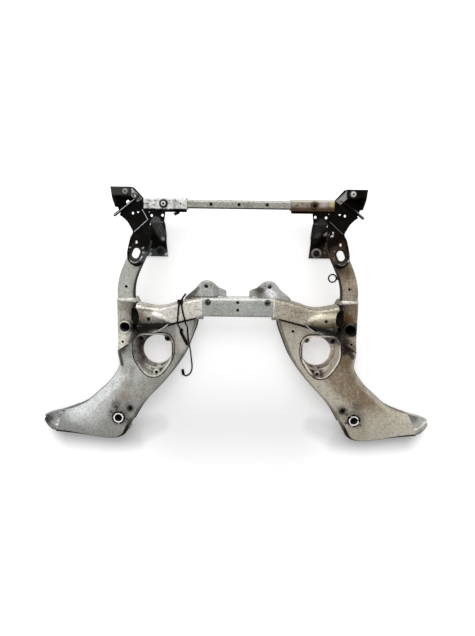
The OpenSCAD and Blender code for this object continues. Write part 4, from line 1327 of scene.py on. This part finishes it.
def foot_tone(side):
    return strip((side * 200, 180), (side * 250, 180), 16, 0.6)


def oval_flecks(side):
    """Bare flecks round the oval hole of a plate."""
    start, end = (side * 262, 181), (side * 256, 194)

    def mask(at):
        ring = at.strip(start, end, 22, 0.85) - at.strip(start, end, 15, 0.9)
        return ring * at.noise(130, 3, 0.6).step(0.56, 0.64)
    return mask


# The thin bright lines along the top of each finger are painted highlights, drawn as bare steel.
BRACKET_FINISH = {
    "left": painted(
        "bracket_paint_left", wear=0.25, dusty=0.25,
        tints=[
            (colour(74, 74, 74), 1.0, leg_panel(-1)), (colour(80, 84, 85), 0.9, foot_tone(-1)),
            (colour(122, 122, 121), 0.45, leg_ribs(-1)), (colour(196, 194, 188), 0.9, oval_flecks(-1)),
            (colour(64, 63, 60), 0.9, strip((-262, 342), (-304, 344), 20, 0.5)),
        ],
        patches=[(-209, 221, 7, 1.0), (-200, 177, 9, 1.0)],
        lines=[
            ((-226, 271.7), (-239, 296), 0.9, 0.8), ((-226, 271.7), (-260, 242), 0.9, 0.8),
            ((-308, 281), (-252, 324), 0.9, 0.9), ((-249, 172), (-243, 180), 2, 0.9),
        ],
    ),
    "right": painted(
        "bracket_paint_right", coat=colour(12, 9, 6), dust=colour(48, 39, 29), wear=0.15, dusty=0.3,
        tints=[
            (colour(44, 43, 41), 0.9, leg_panel(1)), (colour(66, 62, 56), 0.8, foot_tone(1)),
            (colour(70, 69, 67), 0.6, leg_ribs(1)),
            (colour(104, 102, 98), 0.8, spot(211, 236, 10, 0.5)),
            (colour(70, 60, 48), 0.7, spot(250, 190, 30, 0.5)),
            (colour(150, 142, 128), 0.7, oval_flecks(1)),
        ],
        patches=[(232, 240, 8, 1.0)],
        lines=[
            ((226, 271.7), (260, 242), 1.0, 0.2), ((270, 316), (308, 281), 0.9, 0.7),
            ((267, 168), (279, 176), 2.4, 1.0),
        ],
        rust=[(318, 340, 18, 0.9), (312, 320, 12, 0.7), (262, 214, 16, 0.5)],
    ),
}
for side, _ in SIDES:
    for node in ("bracket_plate", "gusset", "ear_box", "finger", "front_leg", "bar_cradle"):
        fit(f"{node}_{side}", BRACKET_FINISH[side], "black_steel", FOLD_EASE)

# Blanking plug. A round plug of dark rubber that is pressed into the hole in the floor of
# the right ear box and stands a little above it.
PLUG_HOLE = (275, 303)
PLUG_RIM_R = 6.2
plug_rim = disc(PLUG_HOLE, PLUG_RIM_R, 131, 134)
plug_rim.name = "blanking_plug"
dress(plug_rim, painted("plug_rubber", wear=0.0, dusty=0.2), "black_steel")

# Feet. A flat steel washer lies under each foot bolt, clamped by its head, with a blue-grey
# coating on the left and bare on the right.
FOOT_WASHER_AT = (216, 175)
FOOT_WASHER_R = 14
FOOT_WASHER_BORE_R = 8.5
FOOT_WASHER_FINISH = {
    "left": painted("foot_washer_left", coat=colour(70, 76, 78), dust=colour(88, 93, 94), wear=0.3),
    "right": steel("foot_washer_right", colour(150, 147, 139), colour(74, 70, 63), 0.45, dirt=1.0),
}
for side, k in SIDES:
    washer = disc(FOOT_WASHER_AT, FOOT_WASHER_R, 5, 6.2, k)
    cut(washer, disc(FOOT_WASHER_AT, FOOT_WASHER_BORE_R, 4, 7, k))
    washer.name = f"foot_washer_{side}"
    dress(washer, FOOT_WASHER_FINISH[side], "fastener")

# Braces. A sloping strap of bare steel, welded on at both ends, ties each ear box to the end
# of the crossbar. The left one is scuffed bright in flecks.
BRACE_FINISH = {
    "left": steel(
        "brace_steel_left", colour(120, 119, 116), colour(44, 43, 40), 0.4, dirt=1.0,
        tints=[(colour(240, 240, 238), 0.9, lambda at: at.noise(170, 3, 0.6).step(0.52, 0.6))],
    ),
    "right": steel("brace_steel_right", colour(158, 158, 156), colour(120, 120, 118), 0.35, dirt=0.5),
}
for side, _ in SIDES:
    fit(f"ear_brace_{side}", BRACE_FINISH[side], "bare_steel")

# Crossbar. A thin box tube of light alloy across the front, drilled on top, with a wider
# sleeve of plated steel over each end.
# The bar's edges are painted dark as painted shade, the bright strip along its front edge is a painted
# highlight and the black line along its rear edge is painted shade.
BAR_FINISH = alloy(
    "bar_alloy", colour(150, 150, 142), colour(120, 119, 111), grain=(0.04, 1, 1), dirt=1.1,
    stain=colour(126, 120, 100), edge=colour(58, 57, 50),
    tints=[(colour(214, 214, 206), 0.7, strip((-131, 319.5), (131, 319.5), 4, 0.4))],
    soot_and_shade=[lambda at: at.strip((-131, 301), (131, 301), 3.2, 0.5) * 0.85],
)


def sleeve_flecks(at):
    """Dark flecks on the top of a sleeve."""
    faces = at.node("SeparateXYZ", {}, {0: Wire(at.node("NewGeometry").outputs["Normal"])})
    return at.noise(150, 4, 0.6).step(0.58, 0.64) * Wire(faces.outputs[2]).step(0.3, 0.7)


# Painted highlight along the front of a sleeve, and painted shade along its rear.
def sleeve_front_highlight(at):
    return at.strip((-131, 323.5), (-237, 323.5), 3.5, 0.6)


def sleeve_rear_shade(at):
    return at.strip((-131, 297.5), (-237, 297.5), 3, 0.4)


# On the sleeves the bright strips along the front are painted highlights, and the dark bands along the
# rear, brown on the right, are painted shade.
SLEEVE_END_FINISH = {
    "left": steel(
        "bar_sleeve_left", colour(206, 207, 205), colour(140, 140, 137), 0.28, dirt=1.0,
        tints=[(colour(236, 237, 236), 0.7, sleeve_front_highlight)],
        oil_and_shade=[spot(-187, 311, 14, 0.7), sleeve_rear_shade, sleeve_flecks],
    ),
    "right": steel(
        "bar_sleeve_right", colour(142, 134, 118), colour(98, 91, 79), 0.34, dirt=0.9,
        tints=[
            (colour(172, 158, 174), 0.6, spot(212, 315, 14, 0.2)),
            (colour(182, 166, 100), 0.7, spot(230, 314, 10, 0.2)),
            (colour(62, 44, 32), 0.95, strip((131, 299), (237, 299), 13, 0.2)),
            (colour(206, 202, 192), 0.7, strip((131, 323), (237, 323), 5, 0.5)),
        ],
        oil_and_shade=[spot(187, 311, 13, 0.6)],
    ),
}
fit("crossbar", BAR_FINISH, "bar", TUBE_EASE)
for side, _ in SIDES:
    fit(f"bar_sleeve_{side}", SLEEVE_END_FINISH[side], "bare_steel", TUBE_EASE)

# Fasteners. Flanged nuts on the ear boxes, flanged bolts through the sleeves and the feet,
# and one bolt at the rear of the left cradle, each grown on one point of its seat.
FLANGE_R = 9
FLANGE_H = 2
HEX_R = 7.5
HEX_H = 7
EAR_BOLT = (273, 327, 165)
BAR_BOLT = (187, 300.5, 131.2)
FOOT_BOLT = (216, 175, 5)
CRADLE_BOLT = (-159, 280.8, 106.8)

head_tree, first, last = new_geometry_tree(
    "Flanged heads", ("Flange radius", "Flange height", "Hex radius", "Hex height", "Tilt"),
)


def drum(tree, corners, radius, height, low):
    """Upright prism or cylinder that stands on a height."""
    sizes = {"Vertices": corners, "Radius": radius, "Depth": height}
    made = grow(tree, "GeometryNodeMeshCylinder", {}, sizes)
    half = grow(tree, "ShaderNodeMath", {"operation": "MULTIPLY_ADD"}, {0: height, 1: 0.5, 2: low})
    lift = grow(tree, "ShaderNodeCombineXYZ", {}, {"Z": half.outputs[0]})
    moved = {"Geometry": made.outputs["Mesh"], "Translation": lift.outputs[0]}
    return grow(tree, "GeometryNodeTransform", {}, moved).outputs[0]


flange_top = first.outputs["Flange height"]
flange = drum(head_tree, 36, first.outputs["Flange radius"], flange_top, 0.0)
hexagon = drum(head_tree, 6, first.outputs["Hex radius"], first.outputs["Hex height"], flange_top)
head = grow(head_tree, "GeometryNodeJoinGeometry")
for part in (flange, hexagon):
    head_tree.links.new(part, head.inputs[0])
spin = grow(
    head_tree, "FunctionNodeRandomValue", {"data_type": "FLOAT"},
    {"Min": 0.0, "Max": 1.0, "Seed": 5},
)
spin_out = next(s for s in spin.outputs if s.type == "VALUE" and s.enabled)
pose = grow(head_tree, "ShaderNodeCombineXYZ", {}, {"X": first.outputs["Tilt"], "Z": spin_out})
heads = grow(
    head_tree, "GeometryNodeInstanceOnPoints", {},
    {"Points": first.outputs["Geometry"], "Instance": head.outputs[0], "Rotation": pose.outputs[0]},
)
close_tree(head_tree, first, last, heads.outputs[0])


def bolted(name, places, finish, nodes, tilt=0.0):
    """Flanged heads on the given plan points, as one plain mesh with eased edges."""
    sizes = {
        "Flange radius": FLANGE_R * MM, "Flange height": FLANGE_H * MM, "Hex radius": HEX_R * MM,
        "Hex height": (HEX_H - FLANGE_H) * MM, "Tilt": tilt, "Material": finish,
    }
    piece = grown(name, [row(*p) for p in places], [], head_tree, sizes)
    round_off = piece.modifiers.new("eased edges", "BEVEL")
    round_off.width = FOLD_EASE
    round_off.segments = 2
    freeze(piece)
    return dress(piece, finish, "fastener", *nodes)


def pair(place):
    return {"left": (-place[0], *place[1:]), "right": place}


def round_mark(place, outer, inner=0.0):
    """Ring on the heads of a pair of bolts, between two radii in millimetres."""
    def mask(at):
        x, y = place[0], place[1] + PLAN_SHIFT
        rings = [at.spot(k * x, y, outer, 0.8) for k in (-1, 1)]
        if inner:
            rings = [ring - at.spot(k * x, y, inner, 0.7) for k, ring in zip((-1, 1), rings)]
        return rings[0].either(rings[1])
    return mask


NUT_RIMS = {"left": colour(132, 131, 128), "right": colour(180, 179, 174)}
NUT_FINISH = {
    side: steel(
        f"nut_steel_{side}", colour(74, 72, 68), colour(44, 42, 39), 0.45, dirt=0.8,
        tints=[(rim_tone, 0.9, round_mark(EAR_BOLT, 7, 3))],
    )
    for side, rim_tone in NUT_RIMS.items()
}
DARK_BOLT = steel(
    "dark_bolt_steel", colour(36, 34, 32), colour(20, 19, 18), 0.5, dirt=0.6,
    tints=[(colour(206, 206, 203), 0.9, round_mark(BAR_BOLT, 6.4, 3.6))],
)
RUSTY_BOLT = steel(
    "rusty_bolt_steel", colour(96, 80, 62), colour(62, 50, 38), 0.55, dirt=0.7,
    tints=[(colour(24, 19, 14), 1.0, round_mark(BAR_BOLT, 6))],
)
FOOT_BOLT_FINISH = steel("foot_bolt_steel", colour(40, 40, 41), colour(22, 22, 22), 0.5, dirt=0.6)
for side, _ in SIDES:
    bolted(f"ear_nut_head_{side}", [pair(EAR_BOLT)[side]], NUT_FINISH[side], [f"ear_nut_{side}"])
    worn = DARK_BOLT if side == "left" else RUSTY_BOLT
    bolted(f"bar_bolt_head_{side}", [pair(BAR_BOLT)[side]], worn, [f"bar_bolt_{side}"])
    bolted(f"foot_bolt_head_{side}", [pair(FOOT_BOLT)[side]], FOOT_BOLT_FINISH, [f"foot_bolt_{side}"])
bolted("cradle_bolt_head", [CRADLE_BOLT], DARK_BOLT, ["cradle_bolt"], math.pi / 2)

# Wire ring. A ring of dark steel wire that guides a loom, fixed to the inner wall of the
# right arm.
RING_FINISH = steel("ring_steel", colour(70, 66, 60), colour(40, 37, 33), 0.45, dirt=0.5)
fit("wire_ring", RING_FINISH, "bare_steel", WIRE_EASE)

# Cables. Two black cables leave a plastic clip on the left shoulder. The short one ends in a
# moulded sleeve on the boot, the long one in a plug on the floor beside it.
CABLE_R = 2
SLEEVE_R = 4
PLUG_R = 4
SHORT_ROUTE = [
    (-151, 50, 130.3), (-153, 36, 130.3), (-154, 20, 130.3), (-155, 7, 130.3), (-155, -3, 127),
    (-155, -12, 114), (-155, -19, 96), (-155, -26, 82), (-154, -35, 76.8),
]
SHORT_SLEEVE_ROUTE = [(-154, -35, 76.8), (-146, -52, 76.6), (-135, -74, 76)]
LONG_ROUTE = [
    (-145, 50, 130.3), (-143, 36, 130.3), (-140, 20, 130.3), (-137, 10, 130.3), (-136, 1, 127),
    (-135, -8, 114), (-135, -15, 96), (-135, -22, 83), (-135, -33, 75.4), (-134, -50, 74.2),
    (-132, -66, 71.6), (-131, -84, 57), (-131, -106, 32), (-131, -130, 12), (-130, -150, 3.2),
    (-131, -166, 2.4), (-137, -178, 2.4), (-147, -184, 2.4), (-154, -181, 3.4),
]
PLUG_ROUTE = [(-154, -181, 4.3), (-156, -174, 4.6), (-157, -164, 4.6)]


def rubber(name, tone, sheen):
    made, shader, at = new_finish(name, 0.0, sheen)
    shader.inputs["Specular IOR Level"].default_value = PAINT_SHEEN
    dust = at.noise(300, 3, 0.6).step(0.55, 0.75) * 0.3
    link(shader, "Base Color", dust.mix(tone, ROAD_DUST))
    link(shader, "Roughness", sheen + 0.2 * dust)
    return made


CABLE_FINISH = rubber("cable_rubber", colour(16, 15, 14), 0.45)
CLIP_FINISH = rubber("clip_plastic", colour(24, 23, 22), 0.4)


def swept(name, line, radii):
    """Round bar along a line of the row frame, with a radius for each of its points."""
    rings, up = [], Vector((0, 0, 1))
    for i, p in enumerate(line):
        ahead = (line[min(i + 1, len(line) - 1)] - line[max(i - 1, 0)]).normalized()
        wide = ahead.cross(up).normalized()
        high = wide.cross(ahead)
        around = [wide * math.cos(a) + high * math.sin(a) for a in circle(16)]
        rings.append([p + spoke * radii[i] for spoke in around])
    return solid(name, rings)


def moulded(name, route, r, node):
    """Moulded end of a cable with rounded ends and grip rings."""
    line = [row(*p) for p in spline(route, 12)]
    count = len(line)
    radii = []
    for i in range(count):
        end = min(1.0, 0.72 + 0.14 * min(i, count - 1 - i))
        grip = 0.88 if i % 4 == 2 else 1.0
        radii.append(r * MM * end * grip)
    return dress(swept(name, line, radii), CABLE_FINISH, "cable", node, bend=60)


def cable(name, route):
    line = [row(*p) for p in spline(route, 6)]
    curve = bpy.data.curves.new(name, "CURVE")
    curve.dimensions = "3D"
    curve.bevel_depth = CABLE_R * MM
    curve.bevel_resolution = 4
    curve.use_fill_caps = True
    run = curve.splines.new("POLY")
    run.points.add(len(line) - 1)
    for point, p in zip(run.points, line):
        point.co = (*p, 1)
    piece = put(name + "_cord", curve)
    curve.materials.append(CABLE_FINISH)
    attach(piece, "root")
    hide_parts(name)


fit("cable_clip", CLIP_FINISH, "cable", WIRE_EASE)
short_end = moulded("cable_short_end", SHORT_SLEEVE_ROUTE, SLEEVE_R, "cable_short_sleeve")
cable("cable_short", SHORT_ROUTE)
long_end = moulded("cable_long_end", PLUG_ROUTE, PLUG_R, "cable_plug")
cable("cable_long", LONG_ROUTE)
